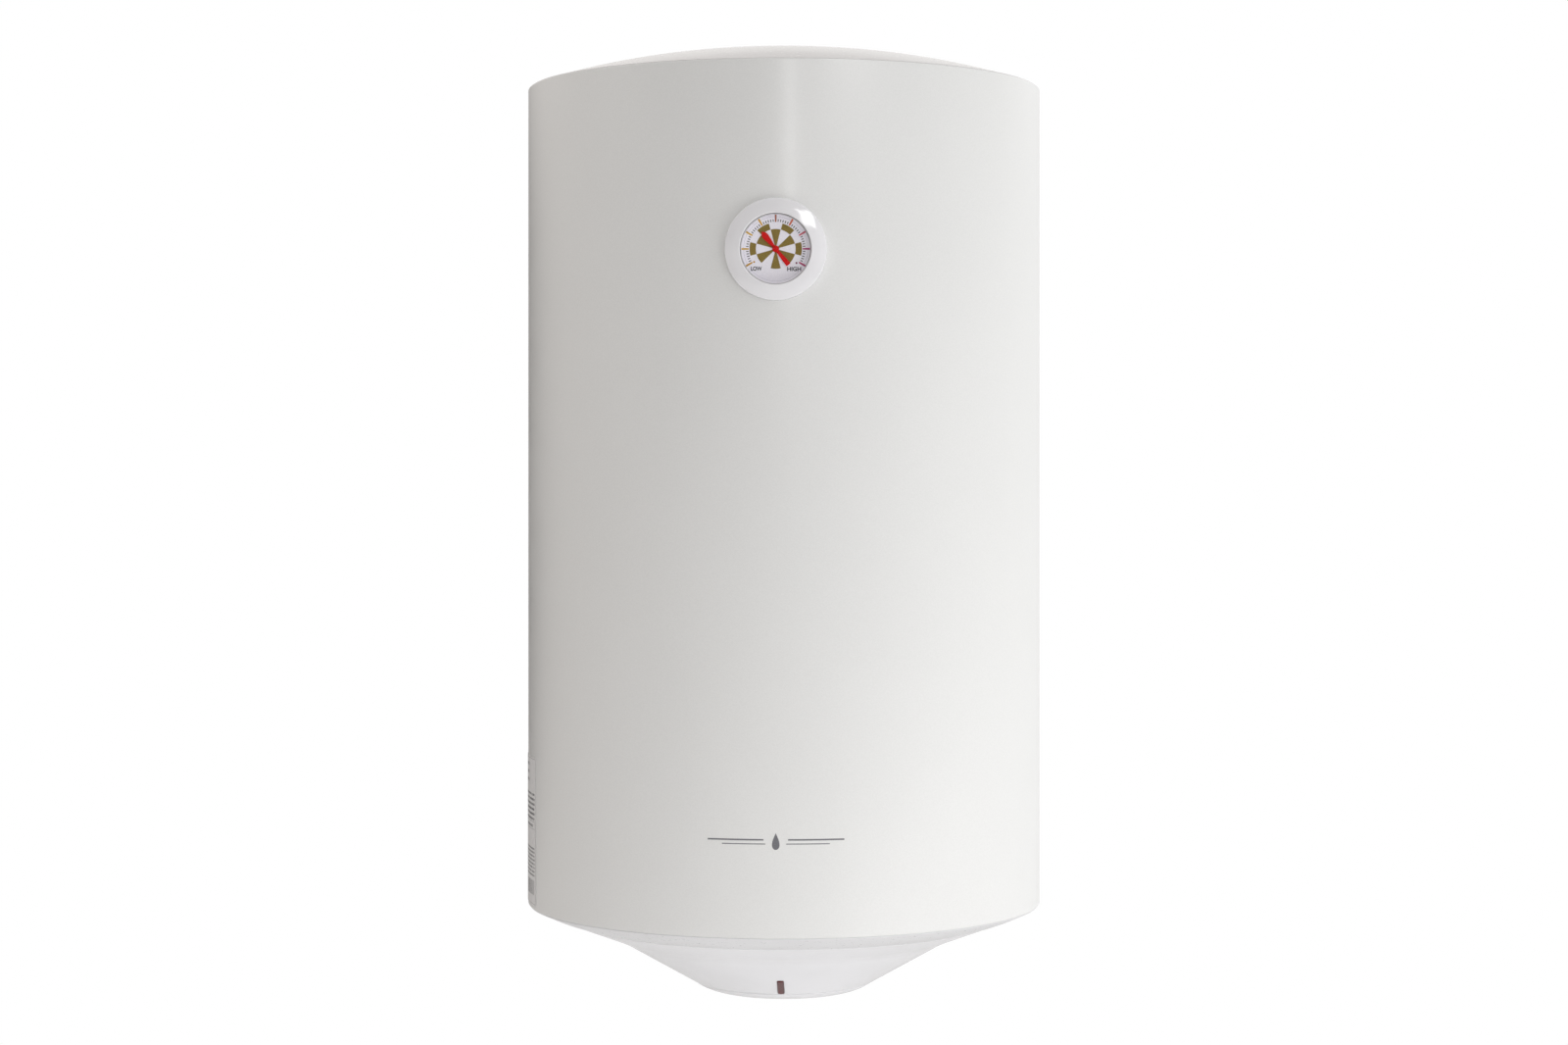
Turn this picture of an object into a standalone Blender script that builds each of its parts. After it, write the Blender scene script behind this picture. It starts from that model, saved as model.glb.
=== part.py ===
"""Wall-hung electric storage water heater of 80 litres, as an assembly of separate solids.

Metres, +Z up. The wall is the plane y = 0 and the heater's front faces -Y. The origin is the centre of the
upper wall bracket's rear face. Round parts are turned about the tank's axis, the vertical line through
(0, AXIS_Y). Levels named BOTTOM or TOP are measured from the jacket's two ends.
"""

import math

import bmesh
import bpy
from mathutils import Matrix, Vector

# Driving dimensions
JACKET_R = 0.225
JACKET_HEIGHT = 0.7125
JACKET_TOP = 0.160
JACKET_BOTTOM = JACKET_TOP - JACKET_HEIGHT
SHEET = 0.0008
WALL_GAP = 0.020  # between the jacket's rearmost line and the wall
AXIS_Y = -(JACKET_R + WALL_GAP)
GAP = 0.0003  # left between pieces that touch
STEPS = 32  # facets round the large turned parts
PLASTIC = 0.0024  # wall of the moulded covers

# Top cap
CAP_R = JACKET_R - 0.0022
DOME_RISE = 0.0333
DOME_POWER = 2.15

# Bottom cap, as radius and depth below the jacket's lower end
LIP_WIDTH = 0.008
BULGE_R, BULGE_DEPTH = 0.2068, 0.0086
RING_R, RING_DEPTH = 0.1888, 0.0147
KINK_R, KINK_DEPTH = 0.1459, 0.0314
CONE_R, CONE_DEPTH = 0.0780, 0.0703
CONE_SLOPE = (CONE_DEPTH - KINK_DEPTH) / (KINK_R - CONE_R)
SHELF_R = 0.0600
SHELF_STEP = 0.0016  # how far the shelf for the lid lies above the cone's end

# Service lid: a shallow bowl, given from the ring round the knob's recess out to its edge
LID_R = CONE_R - 0.0004
LID_TOP = CONE_DEPTH + GAP
BASE_R, BASE_DEPTH = 0.0340, 0.0812
BOWL = ((BASE_R, BASE_DEPTH), (0.0433, 0.0802), (0.0530, 0.0787), (0.0640, 0.0766), (0.0720, 0.0738))
FLOOR_DEPTH = 0.0747  # of the lid's inside
RECESS_R, RECESS_DEPTH = 0.0300, 0.0752
LID_SCREW_X = 0.0675
LID_SCREW_SEAT = 0.0723
LID_SCREW_HEAD = 0.0021

# Tank
TANK_R = 0.198
TANK_WALL = 0.0018
HEAD_RISE = 0.062
TANK_TOP = JACKET_TOP + 0.002
TANK_BOTTOM = JACKET_BOTTOM + 0.012
SHELL_TOP = TANK_TOP - HEAD_RISE
SHELL_BOTTOM = TANK_BOTTOM + HEAD_RISE
BOSS_R = 0.0075
LUG_HALF = 0.020
LUG_THICK = 0.003

# Flange group under the tank, as depth below the jacket's lower end
NECK_R = 0.037
NECK_OUTER_R = NECK_R + 0.003
FLANGE_R = 0.058
FLANGE_BOLT_CIRCLE_R = 0.0495
FLANGE_BOLTS = 5
SEAT_DEPTH = 0.004
GASKET_THICK = 0.003
PLATE_THICK = 0.004
PLATE_TOP_DEPTH = SEAT_DEPTH + GASKET_THICK + 2 * GAP
PLATE_DEPTH = PLATE_TOP_DEPTH + PLATE_THICK
WASHER = 0.0004  # how far a bolt's washer face stands below its head

# Heating element, pocket and anode
ELEMENT_R = 0.0040
ELEMENT_X, ELEMENT_FRONT = 0.020, 0.013
ELEMENT_TOP, ELEMENT_LOW = 0.250, 0.110  # the straight legs' ends above the jacket's lower end
ELEMENT_FOLD = 0.030
POCKET_R = 0.0060
POCKET_TOP = 0.270
ROD_R = 0.0035
ANODE_BACK = 0.0235
ANODE_R = 0.0105
ANODE_LOW, ANODE_TOP = 0.030, 0.260

# Thermostat, knob and terminal block
BODY_TOP_DEPTH = 0.0150
BODY_DEPTH = 0.0480
BODY_WIDTH, BODY_LENGTH = 0.030, 0.036
SPINDLE_R = 0.0030
RESET_X, RESET_FRONT = 0.0065, 0.0105
RESET_R = 0.0030
RESET_TOP, RESET_DEPTH = 0.0450, 0.0530
KNOB_R = 0.0265
KNOB_TOP, KNOB_FACE, KNOB_DEPTH = 0.0760, 0.0784, 0.0836
BLOCK_X = 0.0285
BLOCK_TOP, BLOCK_DEPTH = 0.029, 0.042
POLE_PITCH = 0.0115
LEAD_R = 0.0012

# Cable gland
GLAND_BACK = 0.0490
GLAND_SEAT = 0.0771
GLAND_BORE_R = 0.0045
GLAND_THREAD_R = 0.0080
GLAND_HEX = 0.0200  # across flats
GLAND_DEPTH = 0.0945

# Indicator lens, let into the cone
LENS_MIDDLE_R = 0.09325
LENS_WIDTH, LENS_LENGTH = 0.0055, 0.0300
LENS_PROUD = 0.0009

# Water connections: G 1/2 male nipples
NIPPLE_X = 0.050
NIPPLE_BACK = 0.085  # behind the tank's axis
NIPPLE_R = 0.0105
NIPPLE_BORE_R = 0.0075
NIPPLE_DEPTH = 0.0930
NIPPLE_INSIDE = 0.045  # above the jacket's lower end
COLLAR_R = 0.0165
COLLAR_TOP, COLLAR_STEP, COLLAR_DEPTH = 0.0725, 0.0755, 0.0785
PIPES = (("cold", 1), ("hot", -1))  # seen from the front, cold is on the right

# Thermometer, turned about a line towards the front
GAUGE_Z = JACKET_BOTTOM + 0.5578
BEZEL_R = 0.0416
COLLET_R = 0.0308  # of the part of the bezel that goes through the jacket
WINDOW_R = 0.0288
CASE_R = 0.0284
CASE_DEPTH = 0.0120
POINTER_ANGLE = math.radians(129)
SPIRAL_TURNS = 2.5

# Rating label, on the jacket's left flank
LABEL_ANGLE = math.radians(69.7)  # of its front edge, from the front
LABEL_TURN = math.radians(24)
LABEL_LOW, LABEL_HIGH = 0.0039, 0.1311
LABEL_THICK = 0.0004

# Wall brackets
BRACKET_THICK = 0.003
BRACKET_HEIGHT = 0.050
BRACKET_SPACING = 0.400
WEB_HALF = 0.098
FOOT_ANGLE = math.radians(33)
FOOT_HALF = 0.017
KEYHOLE_X = 0.065
KEYHOLE_R = 0.010
KEYHOLE_DROP = 0.006
SLOT_R = 0.0055
SLOT_LENGTH = 0.014

SIDES = (("left", -1), ("right", 1))
LEVELS = (("upper", 0.0), ("lower", -BRACKET_SPACING))

COLOURS = {
    "pearl_paint": ((0.78, 0.77, 0.74), 0.35, 0.0),
    "white_plastic": ((0.86, 0.86, 0.87), 0.22, 0.0),
    "foam": ((0.85, 0.74, 0.42), 0.90, 0.0),
    "tank_steel": ((0.12, 0.16, 0.28), 0.45, 0.3),
    "zinc_steel": ((0.62, 0.62, 0.60), 0.35, 1.0),
    "stainless": ((0.60, 0.60, 0.60), 0.25, 1.0),
    "copper": ((0.72, 0.40, 0.25), 0.35, 1.0),
    "magnesium": ((0.55, 0.55, 0.55), 0.70, 0.6),
    "rubber": ((0.03, 0.03, 0.03), 0.80, 0.0),
    "blue_plastic": ((0.05, 0.18, 0.55), 0.40, 0.0),
    "red_plastic": ((0.60, 0.04, 0.03), 0.40, 0.0),
    "black_plastic": ((0.04, 0.04, 0.04), 0.50, 0.0),
    "nylon": ((0.80, 0.80, 0.74), 0.50, 0.0),
    "lens_red": ((0.35, 0.07, 0.08), 0.20, 0.0),
    "clear_lens": ((0.92, 0.93, 0.94), 0.05, 0.0),
    "dial_white": ((0.85, 0.85, 0.87), 0.50, 0.0),
    "pointer_red": ((0.70, 0.03, 0.02), 0.40, 0.0),
    "brass": ((0.75, 0.58, 0.28), 0.30, 1.0),
    "label": ((0.85, 0.85, 0.85), 0.50, 0.0),
    "lead_brown": ((0.20, 0.09, 0.04), 0.50, 0.0),
    "lead_blue": ((0.05, 0.15, 0.50), 0.50, 0.0),
}


def clear_scene():
    for obj in list(bpy.data.objects):
        bpy.data.objects.remove(obj)


def material(name):
    """The named material, made on first use."""
    found = bpy.data.materials.get(name)
    if found:
        return found
    colour, roughness, metallic = COLOURS[name]
    made = bpy.data.materials.new(name)
    made.use_nodes = True
    shader = made.node_tree.nodes["Principled BSDF"]
    shader.inputs["Base Color"].default_value = (*colour, 1.0)
    shader.inputs["Roughness"].default_value = roughness
    shader.inputs["Metallic"].default_value = metallic
    return made


def add(name, mesh, finish=None, location=(0, 0, 0), rotation=(0, 0, 0)):
    """Links a mesh as one object. Without a finish it is a cutter, which isn't part of the heater."""
    obj = bpy.data.objects.new(name, mesh)
    obj.location = location
    obj.rotation_euler = rotation
    bpy.context.scene.collection.objects.link(obj)
    if finish:
        obj.data.materials.append(material(finish))
    else:
        obj.hide_render = True
        obj.display_type = "WIRE"
    return obj


def mesh_of(name, bm):
    bmesh.ops.recalc_face_normals(bm, faces=bm.faces)
    mesh = bpy.data.meshes.new(name)
    bm.to_mesh(mesh)
    bm.free()
    mesh.shade_smooth()
    mesh.set_sharp_from_angle(angle=math.radians(35))
    return mesh


def turned(name, profile, steps=STEPS):
    """A mesh turned about Z from (radius, height) points, whose profile may start and end on the axis."""
    bm = bmesh.new()
    verts = [bm.verts.new((r, 0, z)) for r, z in profile]
    pairs = list(zip(verts, verts[1:]))
    if profile[0][0] > 0 or profile[-1][0] > 0:
        pairs.append((verts[-1], verts[0]))
    edges = [bm.edges.new(pair) for pair in pairs]
    bmesh.ops.spin(
        bm, geom=verts + edges, cent=(0, 0, 0), axis=(0, 0, 1), angle=math.tau, steps=steps, use_merge=True
    )
    bmesh.ops.remove_doubles(bm, verts=bm.verts, dist=1e-6)
    return mesh_of(name, bm)


def prism(name, outline, low, high, bevel=0.0):
    """A flat outline of (x, y) points extruded from low to high along Z, its upper rim bevelled if asked."""
    bm = bmesh.new()
    face = bm.faces.new([bm.verts.new((x, y, low)) for x, y in outline])
    made = bmesh.ops.extrude_face_region(bm, geom=[face])["geom"]
    top = [v for v in made if isinstance(v, bmesh.types.BMVert)]
    bmesh.ops.translate(bm, verts=top, vec=(0, 0, high - low))
    if bevel:
        bmesh.ops.recalc_face_normals(bm, faces=bm.faces)
        rim = [e for e in bm.edges if all(v in top for v in e.verts)]
        bmesh.ops.bevel(bm, geom=rim, offset=bevel, segments=1, affect="EDGES")
    return mesh_of(name, bm)


def circle(radius, steps, centre=(0, 0), start=0.0, turn=math.tau):
    """Points round a circle, or along an arc when turn is less than a full one."""
    count = steps if turn >= math.tau else steps + 1
    angles = [start + turn * i / steps for i in range(count)]
    return [(centre[0] + radius * math.cos(a), centre[1] + radius * math.sin(a)) for a in angles]


def rounded_box(width, depth, radius, steps=3):
    """Outline of a rectangle with round corners, centred on the origin."""
    corners = [(1, 1), (-1, 1), (-1, -1), (1, -1)]
    points = []
    for i, (sx, sy) in enumerate(corners):
        centre = (sx * (width / 2 - radius), sy * (depth / 2 - radius))
        points += circle(radius, steps, centre, math.pi / 2 * i, math.pi / 2)
    return points


def cylinder(name, radius, low, high, steps=24):
    return prism(name, circle(radius, steps), low, high)


def ring(name, inner, outer, low, high, steps=32):
    return turned(name, [(inner, low), (outer, low), (outer, high), (inner, high)], steps)


def on_axis(x=0.0, back=0.0, z=0.0):
    """A place measured from the tank's axis and the jacket's lower end."""
    return (x, AXIS_Y + back, JACKET_BOTTOM + z)


def boolean(obj, other, operation="DIFFERENCE"):
    modifier = obj.modifiers.new(other.name, "BOOLEAN")
    modifier.operation = operation
    modifier.solver = "EXACT"
    modifier.object = other


def drill(obj, name, radius, low, high, location, rotation=(0, 0, 0), steps=24):
    """Cuts a round hole, whose cutter runs from low to high along its own Z."""
    boolean(obj, add(name, cylinder(name, radius, low, high, steps), None, location, rotation))


def towards(direction):
    """Rotation that turns +Z to a direction."""
    return Vector(direction).to_track_quat("Z", "Y").to_euler()


FRONT = towards((0, -1, 0))


def rear_places():
    """The four bracket bolts, as (name, bracket height, unit vector out from the axis)."""
    for level, z in LEVELS:
        for side, sign in SIDES:
            out = Vector((sign * math.sin(FOOT_ANGLE), math.cos(FOOT_ANGLE), 0))
            yield f"{level}_{side}", z, out


def dome(radius, drop=0.0):
    """Height of the top cap's surface above the jacket's upper end."""
    return DOME_RISE * (1 - (min(radius, CAP_R) / CAP_R) ** DOME_POWER) - drop


# Casing


def outer_jacket():
    """Rolled sheet cylinder with its edges turned in at both ends."""
    r, t, soft = JACKET_R, SHEET, 0.0012
    top, low = JACKET_HEIGHT, 0.0
    profile = [
        (r - LIP_WIDTH, low), (r - soft, low), (r, low + soft),
        (r, top - soft), (r - soft, top), (r - LIP_WIDTH, top),
        (r - LIP_WIDTH, top - t), (r - soft, top - t), (r - t, top - soft),
        (r - t, low + soft), (r - soft, low + t), (r - LIP_WIDTH, low + t),
    ]
    jacket = add("outer_jacket", turned("outer_jacket", profile), "pearl_paint", on_axis())
    drill(jacket, "cut_gauge_hole", COLLET_R + 0.0004, -0.02, 0.02, (0, AXIS_Y - r, GAUGE_Z), FRONT)
    for name, z, out in rear_places():
        place = Vector((0, AXIS_Y, z)) + out * r
        drill(jacket, f"cut_jacket_{name}", 0.0046, -0.01, 0.01, place, towards(out), 12)


def top_cap():
    """Shallow dome with a skirt that plugs into the jacket's turned-in edge."""
    skirt = JACKET_R - LIP_WIDTH - GAP
    inside = skirt - 0.002
    profile = [(CAP_R * s, dome(CAP_R * s)) for s in (0.0, 0.38, 0.64, 0.83, 0.95)]
    profile += [(CAP_R, 0.0008), (CAP_R, GAP), (skirt, GAP), (skirt, -0.012), (inside, -0.012), (inside, 0.0)]
    profile += [(CAP_R * s, dome(CAP_R * s, PLASTIC)) for s in (0.88, 0.60, 0.0)]
    add("top_cap", turned("top_cap", profile), "white_plastic", (0, AXIS_Y, JACKET_TOP))


def bottom_trim_ring():
    """Conical band under the jacket, with a skirt inside the turned-in edge."""
    skirt = JACKET_R - LIP_WIDTH - GAP
    edge = JACKET_R - 0.0016
    profile = [
        (skirt - 0.002, 0.012), (skirt, 0.012), (skirt, -GAP), (edge, -GAP), (edge, -0.0012),
        (BULGE_R, -BULGE_DEPTH), (RING_R, -RING_DEPTH), (RING_R, -RING_DEPTH + PLASTIC),
        (skirt - 0.002, -0.0038),
    ]
    add("bottom_trim_ring", turned("bottom_trim_ring", profile), "white_plastic", on_axis())


def bottom_cover():
    """Dished cover and cone, down to the shelf that carries the service lid."""
    rim = RING_R - GAP
    soft = 0.010
    slope = (KINK_DEPTH - RING_DEPTH) / (RING_R - KINK_R)
    end = CONE_R - 0.003
    shelf = -CONE_DEPTH + SHELF_STEP
    shelf_top = shelf + 0.0025
    profile = [
        (rim - 0.002, 0.0), (rim, 0.0), (rim, -RING_DEPTH - 0.0006),
        (KINK_R + soft, -KINK_DEPTH + soft * slope), (KINK_R, -KINK_DEPTH - 0.0006),
        (KINK_R - soft, -KINK_DEPTH - soft * CONE_SLOPE), (CONE_R, -CONE_DEPTH), (end, -CONE_DEPTH),
        (end, shelf), (SHELF_R, shelf), (SHELF_R, shelf_top), (CONE_R + 0.0020, shelf_top),
        (KINK_R, -KINK_DEPTH + PLASTIC), (rim - 0.002, -RING_DEPTH + PLASTIC),
    ]
    cover = add("bottom_cover", turned("bottom_cover", profile), "white_plastic", on_axis())
    outline = rounded_box(LENS_WIDTH + 2 * GAP, LENS_LENGTH + 2 * GAP, 0.0016)
    slot = add("cut_lens_slot", prism("cut_lens_slot", outline, -0.006, 0.010))
    slot.matrix_world = lens_frame()
    boolean(cover, slot)
    for side, sign in PIPES:
        place = on_axis(sign * NIPPLE_X, NIPPLE_BACK)
        drill(cover, f"cut_cover_{side}", NIPPLE_R + 0.0030, -0.09, 0.0, place, steps=16)
    for side, sign in SIDES:
        place = on_axis(sign * LID_SCREW_X)
        drill(cover, f"cut_shelf_{side}", 0.0020, -0.0735, -0.06, place, steps=12)


def service_lid():
    """Round lid that closes the base, with a recess for the knob and a seat for each screw."""
    side_r, inner_r, wall_r = LID_R - 0.0029, SHELF_R + 0.0010, RECESS_R + 0.0025
    top = -LID_TOP + SHELF_STEP
    profile = [
        (0.0050, -RECESS_DEPTH), (RECESS_R, -RECESS_DEPTH), (wall_r, -BASE_DEPTH),
        *((r, -depth) for r, depth in BOWL), (LID_R, -LID_TOP), (side_r, -LID_TOP), (side_r, top),
        (inner_r, top), (inner_r, -FLOOR_DEPTH), (wall_r + PLASTIC, -FLOOR_DEPTH),
        (wall_r, -RECESS_DEPTH + PLASTIC), (0.0050, -RECESS_DEPTH + PLASTIC),
    ]
    lid = add("service_lid", turned("service_lid", profile), "white_plastic", on_axis())
    drill(lid, "cut_gland", GLAND_THREAD_R + GAP, -0.09, -0.05, on_axis(0, GLAND_BACK), steps=12)
    drill(lid, "cut_gland_seat", GLAND_HEX * 0.62, -0.09, -GLAND_SEAT, on_axis(0, GLAND_BACK))
    for side, sign in SIDES:
        place = on_axis(sign * LID_SCREW_X)
        drill(lid, f"cut_lid_{side}", 0.0021, -0.085, -0.055, place, steps=12)
        drill(lid, f"cut_head_{side}", 0.0042, -0.085, -LID_SCREW_SEAT + GAP, place, steps=12)


def lid_screws():
    """Pan-head screws, sunk into the lid's underside."""
    seat, crown = -LID_SCREW_SEAT, -LID_SCREW_SEAT - LID_SCREW_HEAD
    profile = [
        (0.0, crown), (0.0024, crown + 0.0002), (0.0036, crown + 0.0011), (0.0038, seat),
        (0.0017, seat), (0.0017, -0.0600), (0.0, -0.0590),
    ]
    for side, sign in SIDES:
        name = f"lid_screw_{side}"
        place = on_axis(sign * LID_SCREW_X)
        screw = add(name, turned(name, profile, 16), "zinc_steel", place)
        slot = prism(f"cut_slot_{side}", rounded_box(0.009, 0.0008, 0.0002, 1), -0.08, crown + 0.0009)
        boolean(screw, add(f"cut_slot_{side}", slot, None, place))


def foam_insulation():
    """Foamed filling between the tank and the casing, open below for the flange."""
    out = JACKET_R - SHEET - GAP
    skirt = JACKET_R - LIP_WIDTH - 0.0020 - 2 * GAP
    top = JACKET_HEIGHT
    inner = TANK_R + GAP
    head = HEAD_RISE + GAP
    low, high = SHELL_BOTTOM - JACKET_BOTTOM, SHELL_TOP - JACKET_BOTTOM
    upper = [(inner * math.cos(a), high + head * math.sin(a)) for a in head_angles(0, 90)]
    lower = [(inner * math.cos(a), low - head * math.sin(a)) for a in head_angles(60, 0)]
    crown_r, step, hole_r = 0.110, 0.0135, 0.0700
    profile = [
        (0.0, top + 0.027), (crown_r, top + dome(crown_r, 0.0060)), (skirt, top - 0.001), (skirt, top - step),
        (out, top - step), (out, step), (skirt, step), (skirt, 0.0015), (hole_r, 0.0015),
    ]
    profile += lower + upper
    profile[-1] = (0.0, profile[-1][1])
    foam = add("foam_insulation", turned("foam_insulation", profile), "foam", on_axis())
    front = (0, AXIS_Y - JACKET_R, GAUGE_Z)
    drill(foam, "cut_foam_gauge", 0.0320, -0.0165, 0.01, front, FRONT)
    drill(foam, "cut_foam_stem", 0.0034, -0.035, 0.0, front, FRONT, 12)
    for side, sign in PIPES:
        place = on_axis(sign * NIPPLE_X, NIPPLE_BACK)
        drill(foam, f"cut_foam_{side}", NIPPLE_R + 0.0005, -0.01, 0.05, place, steps=16)
    for level, z in LEVELS:
        name = f"cut_foam_lug_{level}"
        boolean(foam, add(name, lug_band(name, GAP), None, (0, AXIS_Y, z)))
    inner_end, outer_end = TANK_R + 0.001, JACKET_R + 0.01
    for name, z, way in rear_places():
        place = Vector((0, AXIS_Y, z))
        drill(foam, f"cut_foam_{name}", BOSS_R + GAP, inner_end, outer_end, place, towards(way), 10)


def rating_label():
    """Thin plate stuck to the jacket's left flank."""
    start = 1.5 * math.pi - LABEL_ANGLE - LABEL_TURN
    inner = JACKET_R + GAP
    outline = circle(inner + LABEL_THICK, 8, start=start, turn=LABEL_TURN)
    outline += circle(inner, 8, start=start, turn=LABEL_TURN)[::-1]
    add("rating_label", prism("rating_label", outline, LABEL_LOW, LABEL_HIGH), "label", on_axis())


# Tank


def head_angles(first, last):
    """Angles along a dished end, one about every 30 degrees, from degrees."""
    count = max(2, round(abs(last - first) / 30) + 1)
    return [math.radians(first + (last - first) * i / (count - 1)) for i in range(count)]


def head_profile():
    """Dished end: half an ellipse, one wall thick, opening downwards."""
    outer = [(TANK_R * math.cos(a), HEAD_RISE * math.sin(a)) for a in head_angles(0, 90)]
    r, h = TANK_R - TANK_WALL, HEAD_RISE - TANK_WALL
    inner = [(r * math.cos(a), h * math.sin(a)) for a in head_angles(90, 0)]
    outer[-1], inner[0] = (0.0, HEAD_RISE), (0.0, h)
    return inner + outer


def tank():
    """Shell and two dished ends, with the holes for the neck and both nipples."""
    shell = ring("tank_shell", TANK_R - TANK_WALL, TANK_R, SHELL_BOTTOM + GAP, SHELL_TOP - GAP, STEPS)
    add("tank_shell", shell, "tank_steel", (0, AXIS_Y, 0))
    add("tank_top_head", turned("tank_top_head", head_profile()), "tank_steel", (0, AXIS_Y, SHELL_TOP))
    flipped = turned("tank_bottom_head", [(r, -z) for r, z in head_profile()])
    bottom = add("tank_bottom_head", flipped, "tank_steel", (0, AXIS_Y, SHELL_BOTTOM))
    drill(bottom, "cut_neck", NECK_OUTER_R + GAP, 0.0, 0.04, on_axis(), steps=24)
    for side, sign in PIPES:
        place = on_axis(sign * NIPPLE_X, NIPPLE_BACK)
        drill(bottom, f"cut_head_{side}_pipe", NIPPLE_R + GAP, 0, 0.06, place, steps=20)


def lug_band(name, margin=0.0):
    """Curved plate that hugs the back of the tank between the two bosses."""
    steps = STEPS // 4
    half = math.pi * steps / STEPS
    start, turn = math.pi / 2 - half - margin / TANK_R, 2 * half + 2 * margin / TANK_R
    inner = TANK_R + GAP
    outline = circle(inner + LUG_THICK + margin, steps, start=start, turn=turn)
    outline += circle(inner - 2 * margin, steps, start=start, turn=turn)[::-1]
    return prism(name, outline, -LUG_HALF - margin, LUG_HALF + margin)


def hanger_lugs():
    """Lugs on the tank, each a curved plate and two tapped bosses that reach the jacket."""
    lugs = {}
    reach = (JACKET_R - SHEET) * math.cos(math.pi / STEPS) - 0.0005
    for level, z in LEVELS:
        name = f"{level}_hanger_lug"
        lugs[level] = add(name, lug_band(name), "zinc_steel", (0, AXIS_Y, z))
    for name, z, out in rear_places():
        lug = lugs[name.split("_")[0]]
        place = Vector((0, AXIS_Y, z))
        boss = cylinder(f"join_{name}", BOSS_R, TANK_R + 0.0015, reach, 10)
        boolean(lug, add(f"join_{name}", boss, None, place, towards(out)), "UNION")
        drill(lug, f"cut_boss_{name}", 0.0043, TANK_R + 0.0045, JACKET_R + 0.01, place, towards(out), 8)


# Flange, element, pocket and anode


def bolt(name, shank_r, shank, head_flat, head_height, finish, location, rotation):
    """Hex bolt: the head's seat is at the origin, the shank runs to -Z and the head to +Z."""
    head_r = head_flat / math.sqrt(3)
    piece = add(name, prism(name, circle(head_r, 6), 0.0, head_height), finish, location, rotation)
    washer = cylinder(f"join_{name}_washer", head_flat * 0.56, -WASHER, 0.0012, 12)
    stem = cylinder(f"join_{name}_shank", shank_r, -shank, 0.0008, 8)
    for mesh in (washer, stem):
        boolean(piece, add(mesh.name, mesh, None, location, rotation), "UNION")


def flange_bolt_places():
    for i in range(FLANGE_BOLTS):
        angle = math.tau * i / FLANGE_BOLTS + math.pi / 2
        yield i + 1, FLANGE_BOLT_CIRCLE_R * math.cos(angle), FLANGE_BOLT_CIRCLE_R * math.sin(angle)


def flange_group():
    """Neck welded in the tank, gasket, plate and bolts."""
    neck_profile = [
        (NECK_R, -SEAT_DEPTH), (FLANGE_R, -SEAT_DEPTH), (FLANGE_R, 0.003), (NECK_OUTER_R, 0.003),
        (NECK_OUTER_R, 0.024), (NECK_R, 0.024),
    ]
    neck = add("flange_neck", turned("flange_neck", neck_profile, 24), "tank_steel", on_axis())
    seal_top = -SEAT_DEPTH - GAP
    gasket = ring("flange_gasket", NECK_R + 0.0010, 0.0448, seal_top - GASKET_THICK, seal_top, 24)
    add("flange_gasket", gasket, "rubber", on_axis())
    disc = cylinder("flange_plate", FLANGE_R, -PLATE_DEPTH, -PLATE_TOP_DEPTH)
    plate = add("flange_plate", disc, "zinc_steel", on_axis())
    for number, x, back in flange_bolt_places():
        place = on_axis(x, back)
        drill(neck, f"cut_neck_{number}", 0.0043, -0.01, 0.01, place, steps=8)
        drill(plate, f"cut_plate_{number}", 0.0043, -0.03, 0.0, place, steps=8)
        seat = on_axis(x, back, -PLATE_DEPTH - WASHER - GAP)
        bolt(f"flange_bolt_{number}", 0.0040, 0.0145, 0.013, 0.0053, "zinc_steel", seat, (math.pi, 0, 0))
    for side, sign in SIDES:
        place = on_axis(sign * ELEMENT_X, -ELEMENT_FRONT)
        drill(plate, f"cut_plate_{side}", ELEMENT_R + GAP, -0.03, 0.0, place, steps=12)
    drill(plate, "cut_plate_pocket", POCKET_R + GAP, -0.03, 0.0, on_axis(), steps=16)
    drill(plate, "cut_plate_anode", 0.0033, -0.03, 0.0, on_axis(0, ANODE_BACK), steps=12)


def tube(name, points, radius, finish, resolution=2):
    """Round bar or lead along points, as a poly curve with closed ends."""
    curve = bpy.data.curves.new(name, "CURVE")
    curve.dimensions = "3D"
    spline = curve.splines.new("POLY")
    spline.points.add(len(points) - 1)
    for point, place in zip(spline.points, points):
        point.co = (*place, 1.0)
    curve.bevel_depth = radius
    curve.bevel_resolution = resolution
    curve.use_fill_caps = True
    return add(name, curve, finish)


def smooth(points, per_span=4):
    """Points along a smooth curve through the given ones."""
    ends = [points[0]] + list(points) + [points[-1]]
    found = []
    for i in range(1, len(ends) - 2):
        a, b, c, d = (Vector(p) for p in ends[i - 1:i + 3])
        for k in range(per_span):
            t = k / per_span
            square = (2 * a - 5 * b + 4 * c - d) * t * t
            cube = (3 * b - a - 3 * c + d) * t ** 3
            found.append(0.5 * (2 * b + (c - a) * t + square + cube))
    return found + [Vector(points[-1])]


def heating_element():
    """Tubular heater: two legs through the plate, folded once over the front of the tank."""
    half_turn = [math.pi * i / 6 for i in range(7)]
    half = [(-ELEMENT_X, -ELEMENT_FRONT, -PLATE_DEPTH - 0.010)]
    for a in half_turn:
        front = ELEMENT_FRONT + ELEMENT_FOLD * (1 - math.cos(a))
        half.append((-ELEMENT_X, -front, ELEMENT_TOP + ELEMENT_FOLD * math.sin(a)))
    far = ELEMENT_FRONT + 2 * ELEMENT_FOLD
    under = [(-ELEMENT_X * math.cos(a), -far, ELEMENT_LOW - ELEMENT_X * math.sin(a)) for a in half_turn]
    path = half + under + [(-x, y, z) for x, y, z in reversed(half)]
    tube("heating_element", [on_axis(*p) for p in path], ELEMENT_R, "copper")


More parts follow.
